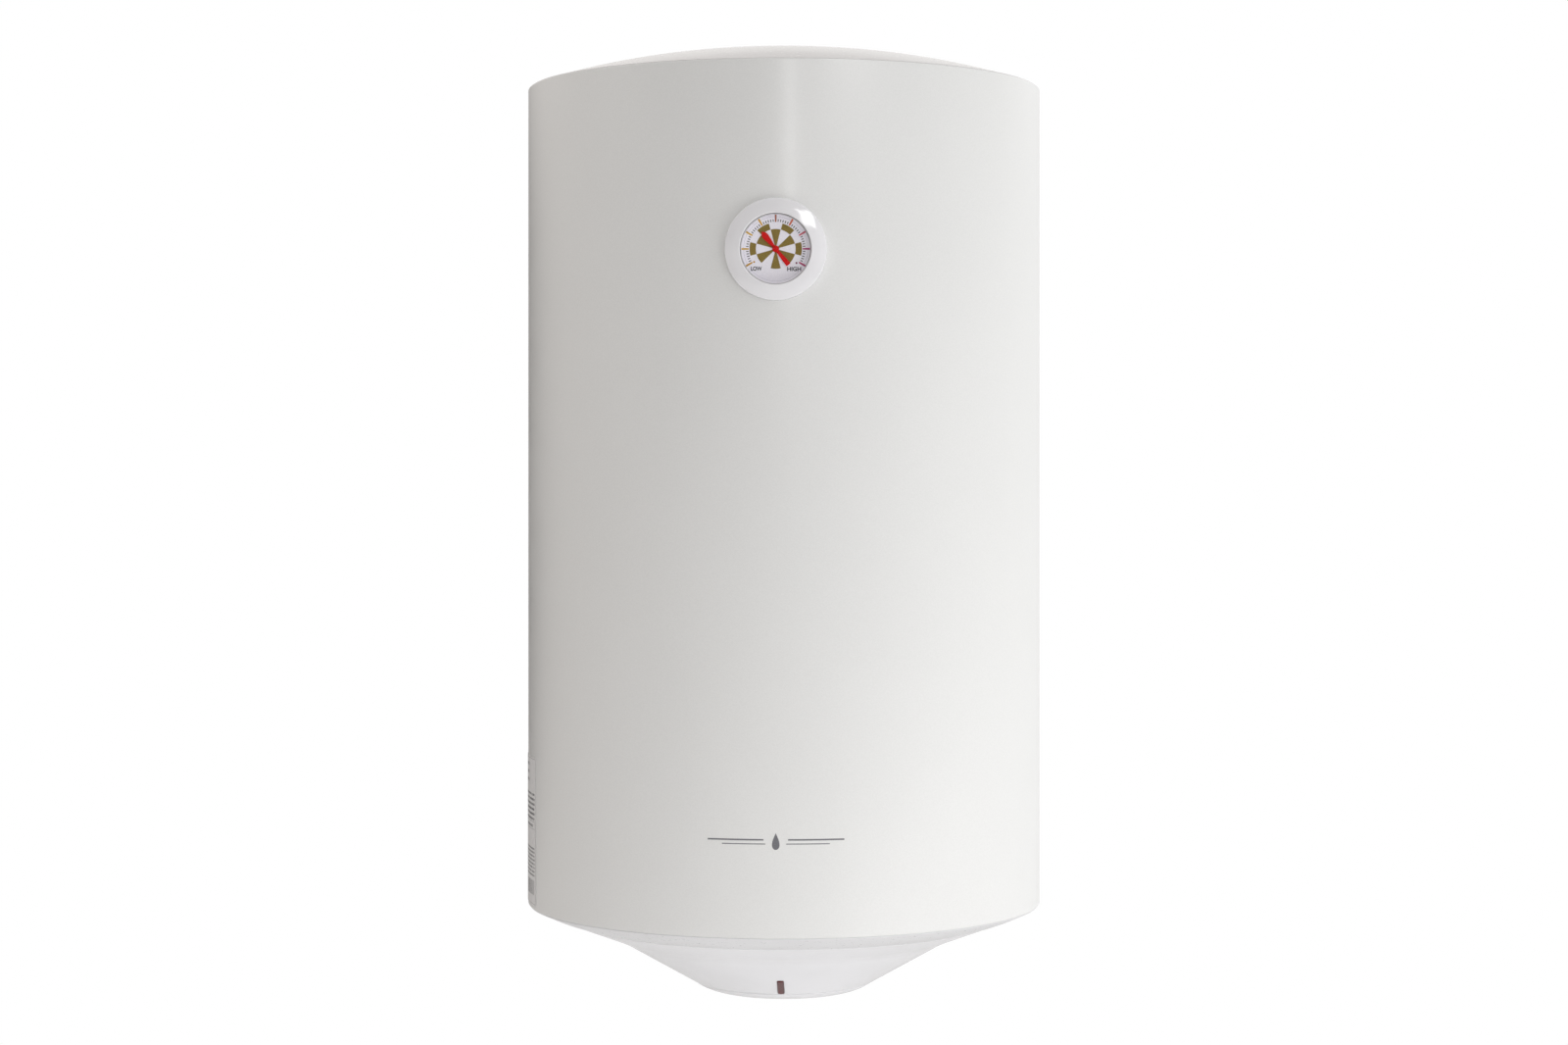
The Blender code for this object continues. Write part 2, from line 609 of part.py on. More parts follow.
def pocket_and_anode():
    """Dry pocket for the thermostat rod, the rod itself, and the magnesium anode on its bolt."""
    top, low = POCKET_TOP, -BODY_TOP_DEPTH + GAP
    bore = POCKET_R - 0.001
    pocket = [
        (0.0, top - 0.0015), (bore, top - 0.0035), (bore, low),
        (POCKET_R, low), (POCKET_R, top - 0.002), (POCKET_R - 0.002, top), (0.0, top),
    ]
    add("thermostat_pocket", turned("thermostat_pocket", pocket, 16), "stainless", on_axis())
    rod = cylinder("thermostat_sensor_rod", ROD_R, low + 0.0001, top - 0.010, 12)
    add("thermostat_sensor_rod", rod, "brass", on_axis())
    anode = [
        (0.0, ANODE_LOW), (ANODE_R, ANODE_LOW), (ANODE_R, ANODE_TOP - 0.005), (ANODE_R - 0.003, ANODE_TOP),
        (0.0, ANODE_TOP),
    ]
    add("magnesium_anode", turned("magnesium_anode", anode, 20), "magnesium", on_axis(0, ANODE_BACK))
    seat = on_axis(0, ANODE_BACK, -PLATE_DEPTH - WASHER - GAP)
    bolt("anode_bolt", 0.0030, PLATE_DEPTH + ANODE_LOW, 0.010, 0.0042, "zinc_steel", seat, (math.pi, 0, 0))


# Water connections


def nipples():
    """Male nipples, the cold side's baffle, the hot side's riser and the two coloured collars."""
    bore, out = NIPPLE_BORE_R, NIPPLE_R
    profile = [
        (bore, -NIPPLE_DEPTH), (out - 0.0012, -NIPPLE_DEPTH), (out, -NIPPLE_DEPTH + 0.0012),
        (out, NIPPLE_INSIDE), (bore, NIPPLE_INSIDE),
    ]
    collar = [
        (out + GAP, -COLLAR_TOP), (COLLAR_R, -COLLAR_TOP), (COLLAR_R, -COLLAR_STEP),
        (COLLAR_R - 0.0025, -COLLAR_DEPTH), (out + GAP, -COLLAR_DEPTH),
    ]
    finishes = {"cold": "blue_plastic", "hot": "red_plastic"}
    for side, sign in PIPES:
        place = on_axis(sign * NIPPLE_X, NIPPLE_BACK)
        add(f"{side}_water_nipple", turned(f"{side}_water_nipple", profile, 20), "stainless", place)
        add(f"{side}_pipe_collar", turned(f"{side}_pipe_collar", collar, 20), finishes[side], place)
    top, inside, outside = NIPPLE_INSIDE, out + 0.0006, out + 0.0026
    baffle = [
        (0.0, top + 0.013), (inside, top + 0.008), (inside, top - 0.012),
        (outside, top - 0.012), (outside, top + 0.010), (0.0, top + 0.016),
    ]
    place = on_axis(PIPES[0][1] * NIPPLE_X, NIPPLE_BACK)
    diffuser = add("cold_inlet_diffuser", turned("cold_inlet_diffuser", baffle, 20), "nylon", place)
    window = prism("cut_baffle", rounded_box(0.05, 0.011, 0.002, 1), top + 0.0015, top + 0.0075)
    boolean(diffuser, add("cut_baffle", window, None, place))
    riser_top = SHELL_TOP - JACKET_BOTTOM + 0.030
    riser = ring("hot_riser_tube", bore - 0.0014, bore - GAP, top - 0.020, riser_top, 16)
    add("hot_riser_tube", riser, "stainless", on_axis(PIPES[1][1] * NIPPLE_X, NIPPLE_BACK))


# Electrics


def thermostat():
    """Thermostat with its spindle and overheat reset button."""
    outline = rounded_box(BODY_WIDTH, BODY_LENGTH, 0.003, 2)
    case = prism("thermostat_body", outline, -BODY_DEPTH, -BODY_TOP_DEPTH)
    body = add("thermostat_body", case, "black_plastic", on_axis())
    drill(body, "cut_spindle", SPINDLE_R + 2 * GAP, -0.06, -0.040, on_axis(), steps=16)
    button_place = on_axis(RESET_X, -RESET_FRONT)
    drill(body, "cut_reset", RESET_R + GAP, -0.06, -0.041, button_place, steps=16)
    for side, sign in SIDES:
        name = f"cut_side_{side}"
        groove = prism(name, rounded_box(0.006, 0.012, 0.001, 1), -0.050, -0.036)
        boolean(body, add(name, groove, None, on_axis(sign * (BODY_WIDTH / 2 - 0.0005), 0.009)))
    shaft = cylinder("thermostat_spindle", SPINDLE_R, -0.0815, -0.0415, 16)
    spindle = add("thermostat_spindle", shaft, "brass", on_axis())
    flat = prism("cut_spindle_flat", rounded_box(0.010, 0.004, 0.0005, 1), -0.085, -0.071)
    boolean(spindle, add("cut_spindle_flat", flat, None, on_axis(0, 0.0040)))
    button = [
        (0.0, -RESET_DEPTH), (RESET_R - 0.0008, -RESET_DEPTH), (RESET_R, -RESET_DEPTH + 0.0008),
        (RESET_R, -RESET_TOP), (0.0, -RESET_TOP),
    ]
    add("reset_button", turned("reset_button", button, 16), "red_plastic", button_place)


def temperature_knob():
    """Round knob in the lid's recess, with a finger bar across it and a bore for the spindle."""
    face, edge = -KNOB_FACE, -KNOB_FACE + 0.0008
    profile = [(0.0, face), (KNOB_R - 0.002, face), (KNOB_R, edge), (KNOB_R, -KNOB_TOP), (0.0, -KNOB_TOP)]
    knob = add("temperature_knob", turned("temperature_knob", profile), "white_plastic", on_axis())
    bar = prism("join_knob_bar", rounded_box(0.012, 0.044, 0.004, 3), -KNOB_DEPTH, edge)
    boolean(knob, add("join_knob_bar", bar, None, on_axis()), "UNION")
    drill(knob, "cut_knob_bore", SPINDLE_R + 0.0004, -0.0818, -0.07, on_axis(), steps=16)


def terminal_block():
    """Three-pole block beside the thermostat."""
    bar = prism("terminal_block", rounded_box(0.014, 0.036, 0.001, 1), -BLOCK_DEPTH, -BLOCK_TOP)
    block = add("terminal_block", bar, "nylon", on_axis(BLOCK_X))
    for i in (-1, 0, 1):
        place = on_axis(BLOCK_X, i * POLE_PITCH)
        drill(block, f"cut_terminal_{i + 2}", 0.0027, -0.05, -0.036, place, steps=12)


def cable_gland():
    """Screwed gland for the supply cord, and its locknut inside the lid."""
    top = -GLAND_SEAT - GAP
    place = on_axis(0, GLAND_BACK)
    profile = [
        (0.0, -GLAND_DEPTH), (0.0068, -GLAND_DEPTH), (0.0092, -GLAND_DEPTH + 0.0020), (0.0098, -0.0850),
        (0.0098, top - 0.0030), (GLAND_THREAD_R, top - 0.0020), (GLAND_THREAD_R, -0.0662), (0.0, -0.0662),
    ]
    gland = add("cable_gland", turned("cable_gland", profile, 16), "black_plastic", place)
    flange = prism("join_gland_hex", circle(GLAND_HEX / math.sqrt(3), 6), top - 0.0043, top)
    boolean(gland, add("join_gland_hex", flange, None, place), "UNION")
    drill(gland, "cut_gland_bore", GLAND_BORE_R, -0.1, -0.06, place, steps=12)
    nut_seat = -FLOOR_DEPTH + GAP
    nut = prism("gland_locknut", circle(0.0112, 6), nut_seat, nut_seat + 0.0042)
    locknut = add("gland_locknut", nut, "black_plastic", place)
    drill(locknut, "cut_locknut", GLAND_THREAD_R + GAP, -0.1, -0.05, place, steps=12)


def lens_frame():
    """Where the indicator lens lies: local Y runs up the cone's front, local Z points out of it."""
    depth = KINK_DEPTH + (KINK_R - LENS_MIDDLE_R) * CONE_SLOPE
    tilt = math.atan(CONE_SLOPE)
    up = Vector((0, -math.cos(tilt), math.sin(tilt)))
    out = Vector((0, -math.sin(tilt), -math.cos(tilt)))
    side = up.cross(out)
    frame = Matrix((side, up, out)).transposed().to_4x4()
    frame.translation = on_axis(0, -LENS_MIDDLE_R, -depth)
    return frame


def indicator():
    """Long red lens let into the cone, and the neon lamp behind it."""
    outline = rounded_box(LENS_WIDTH, LENS_LENGTH, 0.0014)
    window = prism("indicator_lens", outline, -PLASTIC - 0.001, LENS_PROUD, 0.0004)
    lens = add("indicator_lens", window, "lens_red")
    lens.matrix_world = lens_frame()
    lamp = add("indicator_lamp", cylinder("indicator_lamp", 0.0030, -0.0065, 0.0065, 12), "clear_lens")
    behind = Matrix.Translation((0, 0.002, -0.0075)) @ Matrix.Rotation(math.pi / 2, 4, "X")
    lamp.matrix_world = lens_frame() @ behind


def leads():
    """Inner wiring: supply to the element's two legs, and the lamp's lead."""
    pole = {i: on_axis(BLOCK_X, i * POLE_PITCH, -BLOCK_DEPTH - 0.0005) for i in (-1, 0, 1)}
    foot = -PLATE_DEPTH - 0.0125
    routes = {
        "live_lead": (
            pole[-1], on_axis(0.0300, -0.0135, -0.0460), on_axis(0.0345, -0.0270, -0.0440),
            on_axis(0.0290, -0.0300, -0.0320), on_axis(0.0205, -0.0225, -0.0270),
            on_axis(ELEMENT_X, -0.0190, foot),
        ),
        "neutral_lead": (
            pole[0], on_axis(0.0330, -0.0060, -0.0480), on_axis(0.0300, -0.0270, -0.0530),
            on_axis(0.0, -0.0330, -0.0520), on_axis(-0.0240, -0.0290, -0.0400),
            on_axis(-ELEMENT_X, -0.0190, foot),
        ),
        "lamp_lead": (
            pole[1], on_axis(0.0360, 0.0130, -0.0480), on_axis(0.0520, -0.0050, -0.0540),
            on_axis(0.0440, -0.0500, -0.0500), on_axis(0.0150, -0.0720, -0.0440),
            on_axis(0.0, -0.0780, -0.0475),
        ),
    }
    finishes = {"live_lead": "lead_brown", "neutral_lead": "lead_blue", "lamp_lead": "lead_brown"}
    for name, route in routes.items():
        tube(name, smooth(route), LEAD_R, finishes[name], 1)


# Thermometer


def gauge(name, mesh, finish=None):
    """Adds a piece of the thermometer, whose local Z points out of the jacket's front."""
    return add(name, mesh, finish, (0, AXIS_Y - JACKET_R, GAUGE_Z), FRONT)


def thermometer():
    """Round dial thermometer: bezel, window, dial, pointer on its spindle, case, bimetal spiral and stem."""
    bezel_profile = [
        (WINDOW_R, 0.0010), (WINDOW_R, 0.0070), (0.0297, 0.0076), (0.0356, 0.0057), (0.0410, 0.0031),
        (BEZEL_R, 0.0012), (BEZEL_R, -0.0060), (COLLET_R, -0.0060), (COLLET_R, -0.0130), (WINDOW_R, -0.0130),
    ]
    bezel = gauge("thermometer_bezel", turned("thermometer_bezel", bezel_profile), "white_plastic")
    around = ring("cut_saddle", TANK_R - 0.003, JACKET_R + GAP, 0.45, 0.65)
    saddle = add("cut_saddle", around, None, on_axis())
    boolean(saddle, gauge("cut_saddle_keep", cylinder("cut_saddle_keep", COLLET_R + 0.0001, -0.05, 0.02, 32)))
    boolean(bezel, saddle)
    lens_profile = [
        (0.0, 0.0042), (0.0262, 0.0042), (0.0262, 0.0034), (CASE_R, 0.0034), (CASE_R, 0.0046),
        (0.0220, 0.0057), (0.0120, 0.0064), (0.0, 0.0066),
    ]
    gauge("thermometer_lens", turned("thermometer_lens", lens_profile, 24), "clear_lens")
    gauge("thermometer_dial", ring("thermometer_dial", 0.0014, 0.0272, 0.0004, 0.0010, 24), "dial_white")
    wall_r, floor = CASE_R - 0.0010, -CASE_DEPTH + 0.0010
    case_profile = [
        (0.0035, floor), (wall_r, floor), (wall_r, 0.0031), (CASE_R, 0.0031), (CASE_R, -CASE_DEPTH),
        (0.0035, -CASE_DEPTH),
    ]
    gauge("thermometer_case", turned("thermometer_case", case_profile, 24), "dial_white")
    stem = [(0.0, -0.0266), (0.0020, -0.0266), (0.0030, -0.0256), (0.0030, -0.0105), (0.0, -0.0105)]
    gauge("thermometer_stem", turned("thermometer_stem", stem, 12), "brass")
    gauge("pointer_spindle", cylinder("pointer_spindle", 0.0010, -0.0095, 0.0032, 10), "brass")
    pointer()
    bimetal_spiral()


def pointer():
    """Double-ended hand: a pointed, waisted tip and a square tail about a round hub."""
    tip, tail = 0.0185, 0.0168
    side = [(-tail, 0.0020), (-0.0030, 0.0011), (0.0030, 0.0011)]
    side += [(0.0130, 0.0023), (0.0155, 0.0021), (tip, 0.0005)]
    outline = side + [(x, -y) for x, y in reversed(side)]
    hand = gauge("thermometer_pointer", prism("thermometer_pointer", outline, 0.0018, 0.0024), "pointer_red")
    hub = gauge("join_pointer_hub", cylinder("join_pointer_hub", 0.0030, 0.0014, 0.0030, 20))
    bore = gauge("cut_pointer_bore", cylinder("cut_pointer_bore", 0.0013, 0.0, 0.004, 10))
    turn = Matrix.Rotation(POINTER_ANGLE, 4, "Z")
    for obj in (hand, hub, bore):
        obj.matrix_world = Matrix.LocRotScale(obj.location, obj.rotation_euler, None) @ turn
    boolean(hand, hub, "UNION")
    boolean(hand, bore)


def bimetal_spiral():
    """Flat spiral strip between the spindle and the case wall."""
    per_turn, half_thick, pitch = 12, 0.00025, 0.0022
    count = int(SPIRAL_TURNS * per_turn)
    spiral = [(pitch * (1 + i / per_turn), math.tau * i / per_turn) for i in range(count + 1)]
    near = [((r - half_thick) * math.cos(a), (r - half_thick) * math.sin(a)) for r, a in spiral]
    far = [((r + half_thick) * math.cos(a), (r + half_thick) * math.sin(a)) for r, a in spiral]
    gauge("bimetal_spiral", prism("bimetal_spiral", far + near[::-1], -0.0085, -0.0045), "brass")


# Wall brackets


def bracket_outline():
    """Plan of a bracket: flat web on the wall, legs, and feet square to the bolts, one sheet thick."""
    t = BRACKET_THICK
    out = Vector((math.sin(FOOT_ANGLE), math.cos(FOOT_ANGLE)))
    along = Vector((math.cos(FOOT_ANGLE), -math.sin(FOOT_ANGLE))) * FOOT_HALF
    face = Vector((0, AXIS_Y)) + out * (JACKET_R + 2 * GAP)
    back = face + out * t
    right = [
        Vector((WEB_HALF + t, 0)), back - along * 0.94, back + along,
        face + along, face - along, Vector((WEB_HALF, -t)),
    ]
    return [(p.x, p.y) for p in right] + [(-p.x, p.y) for p in reversed(right)]


def wall_brackets():
    """Hat-shaped steel brackets with two keyholes each, bolted through the jacket into the lugs."""
    brackets = {}
    half = BRACKET_HEIGHT / 2
    for level, z in LEVELS:
        name = f"{level}_wall_bracket"
        brackets[level] = add(name, prism(name, bracket_outline(), -half, half), "zinc_steel", (0, 0, z))
        for side, sign in SIDES:
            hole = f"cut_key_{level}_{side}"
            place = (sign * KEYHOLE_X, 0, z)
            boolean(brackets[level], add(hole, keyhole(hole), None, place, (math.pi / 2, 0, 0)))
    for name, z, out in rear_places():
        place = Vector((0, AXIS_Y, z)) + out * (JACKET_R + 3 * GAP + BRACKET_THICK + WASHER)
        drill(brackets[name.split("_")[0]], f"cut_foot_{name}", 0.0045, -0.02, 0.02, place, towards(out), 16)
        bolt(f"bracket_bolt_{name}", 0.0040, 0.0200, 0.013, 0.0053, "zinc_steel", place, towards(out))


def keyhole(name):
    """Round entry with a narrower slot above it, along local Z."""
    meet = math.asin(SLOT_R / KEYHOLE_R)
    outline = circle(KEYHOLE_R, 12, (0, -KEYHOLE_DROP), math.pi / 2 + meet, math.tau - 2 * meet)
    outline += circle(SLOT_R, 6, (0, SLOT_LENGTH - SLOT_R), 0, math.pi)
    return prism(name, outline, -0.02, 0.02)


def main():
    clear_scene()
    outer_jacket()
    top_cap()
    bottom_trim_ring()
    bottom_cover()
    service_lid()
    lid_screws()
    foam_insulation()
    rating_label()
    tank()
    hanger_lugs()
    flange_group()
    heating_element()
    pocket_and_anode()
    nipples()
    thermostat()
    temperature_knob()
    terminal_block()
    cable_gland()
    indicator()
    leads()
    thermometer()
    wall_brackets()


main()
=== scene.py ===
"""Looks of a wall-hung electric storage water heater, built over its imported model.

Metres, +Z up, front facing -Y, wall plane at y = 0. Visible pieces are remade finely from the
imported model's boxes and a few design sizes; the hidden ones keep their solids and get a finish.
"""

import math

import bmesh
import bpy
from mathutils import Matrix, Vector


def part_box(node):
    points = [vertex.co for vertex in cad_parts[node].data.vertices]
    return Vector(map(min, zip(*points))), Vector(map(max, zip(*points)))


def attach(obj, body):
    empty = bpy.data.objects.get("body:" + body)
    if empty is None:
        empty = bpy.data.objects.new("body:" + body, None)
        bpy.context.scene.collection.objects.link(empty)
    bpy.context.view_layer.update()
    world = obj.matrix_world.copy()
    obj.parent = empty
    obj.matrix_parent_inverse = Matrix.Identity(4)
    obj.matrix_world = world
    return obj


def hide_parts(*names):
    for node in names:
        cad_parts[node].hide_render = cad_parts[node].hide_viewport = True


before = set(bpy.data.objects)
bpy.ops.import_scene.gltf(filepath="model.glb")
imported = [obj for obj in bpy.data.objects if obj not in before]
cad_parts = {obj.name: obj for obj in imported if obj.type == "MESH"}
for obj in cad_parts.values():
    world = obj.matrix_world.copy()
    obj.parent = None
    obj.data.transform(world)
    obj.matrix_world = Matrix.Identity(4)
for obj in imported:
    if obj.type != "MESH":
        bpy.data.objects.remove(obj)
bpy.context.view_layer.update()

SCENE = bpy.context.scene


def corners(node):
    """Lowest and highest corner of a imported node."""
    return [Vector(c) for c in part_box(node)]


# ---- places taken from the frame

JACKET_LOW, JACKET_HIGH = corners("outer_jacket")
R = (JACKET_HIGH.x - JACKET_LOW.x) / 2
AXIS = Vector(((JACKET_LOW.x + JACKET_HIGH.x) / 2, (JACKET_LOW.y + JACKET_HIGH.y) / 2, 0))
TOP, BOTTOM = JACKET_HIGH.z, JACKET_LOW.z
BEZEL_LOW, BEZEL_HIGH = corners("thermometer_bezel")
GAUGE = Vector(((BEZEL_LOW.x + BEZEL_HIGH.x) / 2, AXIS.y - R, (BEZEL_LOW.z + BEZEL_HIGH.z) / 2))
BEZEL_R = (BEZEL_HIGH.x - BEZEL_LOW.x) / 2
CAP_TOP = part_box("top_cap")[1][2]

# ---- design sizes
# Radii are measured from the tank's axis, and depths down from the jacket's lower end.

SHEET = 0.0008
CAP_EDGE = R - 0.0014
DOME_RISE = CAP_TOP - TOP
DOME_POWER = 2.15
LIP = 0.008
BULGE_R, BULGE_DEPTH = 0.2068, 0.0086
RING_R, RING_DEPTH = 0.1888, 0.0147
KINK_R, KINK_DEPTH = 0.1459, 0.0314
CONE_R, CONE_DEPTH = 0.0780, 0.0703
CONE_SLOPE = (CONE_DEPTH - KINK_DEPTH) / (KINK_R - CONE_R)
BASE_R, BASE_DEPTH = 0.0340, 0.0812
BOWL = ((BASE_R, BASE_DEPTH), (0.0433, 0.0802), (0.0530, 0.0787), (0.0640, 0.0766), (0.0720, 0.0738))
LID_FLOOR = 0.0747
RECESS_DEPTH = 0.0752
WALL = 0.0024  # moulded cover and dome
GLAND_SEAT = 0.0771
LID_SCREW_R = 0.0675
LENS_R = 0.09325
EMBLEM_HEIGHT = 0.350 * R

KNOB_START, KNOB_SWEEP, KNOB_MARKS = -90, 260, 10  # degrees, degrees, steps of the scale
MARK_AT_GLAND = 7

WINDOW_R = 0.0288
DIAL_START, DIAL_SWEEP = 210, 240  # degrees; the scale runs clockwise from its low end
POINTER_ANGLE = math.radians(129)

BRACKET_SHEET = 0.003
BRACKET_ANGLE = math.radians(33)
BRACKET_HALF = 0.098
BRACKET_TOE = 0.017
JACKET_GAP = 0.0006
KEYHOLE_X, KEYHOLE_R, KEYHOLE_SLOT, KEYHOLE_TOP = 0.065, 0.010, 0.0055, 0.014

FLOOR_R, FLOOR_DROP = 2.7, 0.75


def srgb(r, g, b):
    """Linear colour of an 8-bit one."""
    return tuple(c / 255 / 12.92 if c <= 10.3 else ((c / 255 + 0.055) / 1.055) ** 2.4 for c in (r, g, b))


# ---- meshes


def linked(name, data):
    """A new object in the scene."""
    obj = bpy.data.objects.new(name, data)
    SCENE.collection.objects.link(obj)
    return obj


def mesh_of(bm):
    """The mesh that a bmesh holds. The bmesh is freed."""
    mesh = bpy.data.meshes.new("mesh")
    bm.to_mesh(mesh)
    bm.free()
    return mesh


def shaded(mesh, sharp=32):
    """Smooth shading that keeps sharp edges, with the faces square to Z flat."""
    mesh.shade_smooth()
    mesh.set_sharp_from_angle(angle=math.radians(sharp))
    for face in mesh.polygons:
        if abs(face.normal.z) > 0.99999:
            face.use_smooth = False
    return mesh


def ring_mesh(verts, steps, count, sharp):
    """A closed outline of count points, repeated in steps places round an axis, as one skin."""
    faces = []
    for i in range(steps):
        here, there = i * count, (i + 1) % steps * count
        for k in range(count):
            m = (k + 1) % count
            faces.append((here + k, there + k, there + m, here + m))
    mesh = bpy.data.meshes.new("mesh")
    mesh.from_pydata(verts, [], faces)
    bm = bmesh.new()
    bm.from_mesh(mesh)
    bmesh.ops.remove_doubles(bm, verts=bm.verts, dist=1e-6)
    bmesh.ops.dissolve_degenerate(bm, dist=1e-7, edges=bm.edges)
    bmesh.ops.recalc_face_normals(bm, faces=bm.faces)
    bm.to_mesh(mesh)
    bm.free()
    return shaded(mesh, sharp)


def filleted(points, segments=5):
    """A closed outline with its corners rounded: points are (a, b) or (a, b, radius)."""
    made = []
    count = len(points)
    for i, point in enumerate(points):
        here = Vector(point[:2])
        radius = point[2] if len(point) > 2 else 0.0
        if not radius:
            made.append(tuple(here))
            continue
        to_last = Vector(points[i - 1][:2]) - here
        to_next = Vector(points[(i + 1) % count][:2]) - here
        half = to_last.angle(to_next) / 2
        reach = min(radius / math.tan(half), to_last.length * 0.49, to_next.length * 0.49)
        radius = reach * math.tan(half)
        inward = (to_last.normalized() + to_next.normalized()).normalized()
        middle = here + inward * (radius / math.sin(half))
        start = here + to_last.normalized() * reach - middle
        end = here + to_next.normalized() * reach - middle
        sweep = start.angle_signed(end)
        for k in range(segments + 1):
            made.append(tuple(middle + Matrix.Rotation(-sweep * k / segments, 2) @ start))
    return made


def lathe(profile, steps=160, wobble=None):
    """Turned about Z from a closed outline of (radius, height); wobble(angle, r, z) shifts the radius."""
    verts = []
    for i in range(steps):
        a = math.tau * i / steps
        for r, z in profile:
            rr = r + (wobble(a, r, z) if wobble else 0.0)
            verts.append((rr * math.cos(a), rr * math.sin(a), z))
    return ring_mesh(verts, steps, len(profile), 32)


def grooves(count, depth, outside, below=math.inf):
    """A wobble that cuts shallow grooves beyond one radius and below one height."""

    def groove(a, r, z):
        return -depth * (0.5 + 0.5 * math.cos(count * a)) if r > outside and z < below else 0.0

    return groove


def extruded(outline, way):
    """A bmesh of a flat outline made solid along a vector."""
    bm = bmesh.new()
    face = bm.faces.new([bm.verts.new(p) for p in outline])
    made = bmesh.ops.extrude_face_region(bm, geom=[face])["geom"]
    bmesh.ops.translate(bm, verts=[v for v in made if isinstance(v, bmesh.types.BMVert)], vec=way)
    bmesh.ops.recalc_face_normals(bm, faces=bm.faces)
    return bm


def slab(outline, low, high, bevel=0.0, segments=2):
    """A flat outline of (x, y) points made solid along Z, with both rims bevelled if asked."""
    bm = extruded([(x, y, low) for x, y in outline], (0, 0, high - low))
    if bevel:
        rims = [e for e in bm.edges if abs(e.verts[0].co.z - e.verts[1].co.z) < 1e-9]
        bmesh.ops.bevel(bm, geom=rims, offset=bevel, segments=segments, profile=0.5, affect="EDGES")
    return shaded(mesh_of(bm))


def arc(radius, steps, centre=(0, 0), start=0.0, turn=math.tau):
    count = steps if turn >= math.tau - 1e-9 else steps + 1
    angles = [start + turn * i / steps for i in range(count)]
    return [(centre[0] + radius * math.cos(a), centre[1] + radius * math.sin(a)) for a in angles]


def band(inner, outer, steps, start, turn):
    """Outline of a part of a ring between two radii."""
    return arc(outer, steps, start=start, turn=turn) + arc(inner, steps, start=start, turn=turn)[::-1]


def smooth_run(points, between):
    """Points on a smooth curve through the given ones, with extra ones between each two."""
    points = [Vector(p) for p in points]
    ends = [2 * points[0] - points[1], *points, 2 * points[-1] - points[-2]]
    made = []
    for a, b, c, d in zip(ends, ends[1:], ends[2:], ends[3:]):
        for i in range(between + 1):
            t = i / (between + 1)
            square, cube = 2 * a - 5 * b + 4 * c - d, 3 * b - a - 3 * c + d
            made.append(tuple(0.5 * (2 * b + (c - a) * t + square * t**2 + cube * t**3)))
    return made + [tuple(points[-1])]


def round_box(width, depth, radius, steps=6):
    points = []
    for i, (sx, sy) in enumerate(((1, 1), (-1, 1), (-1, -1), (1, -1))):
        centre = (sx * (width / 2 - radius), sy * (depth / 2 - radius))
        points += arc(radius, steps, centre, math.pi / 2 * i, math.pi / 2)
    return points


def placed(mesh, matrix):
    mesh.transform(matrix)
    return mesh


def joined(meshes):
    """Several meshes as one, keeping each one's shading."""
    bm = bmesh.new()
    for mesh in meshes:
        bm.from_mesh(mesh)
    return mesh_of(bm)


def cut(mesh, cutters, operation="DIFFERENCE"):
    """The mesh with each cutter mesh taken away from it, united with it or crossed with it."""
    target = linked("target", mesh)
    tools = []
    for i, cutter in enumerate(cutters):
        tool = linked(f"tool_{i}", cutter)
        modifier = target.modifiers.new(f"tool_{i}", "BOOLEAN")
        modifier.operation = operation
        modifier.solver = "EXACT"
        modifier.object = tool
        tools.append(tool)
    made = settled(target)
    for obj in (target, *tools):
        bpy.data.objects.remove(obj)
    return made


def settled(obj):
    """The mesh that an object's modifiers or text make."""
    graph = bpy.context.evaluated_depsgraph_get()
    graph.update()
    return bpy.data.meshes.new_from_object(obj.evaluated_get(graph), depsgraph=graph)


def piece(name, mesh, finish, node=None, at=None, body="heater"):
    """Links a visible piece, which rides on a body and stands for the node it replaces."""
    if at:
        mesh.transform(at)
    mesh.name = name
    mesh.materials.clear()
    mesh.materials.append(finish)
    obj = linked(name, mesh)
    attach(obj, body)
    if node:
        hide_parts(node)


def shift(x=0.0, y=0.0, z=0.0):
    return Matrix.Translation((x, y, z))


def at_axis(x=0.0, back=0.0):
    """Moves a mesh made about the origin to the jacket's lower end, beside the tank's axis."""
    return shift(AXIS.x + x, AXIS.y + back, BOTTOM)


FRONT = Matrix.Rotation(math.pi / 2, 4, "X")
GAUGE_PLACE = Matrix.Translation(GAUGE) @ FRONT


# ---- finishes


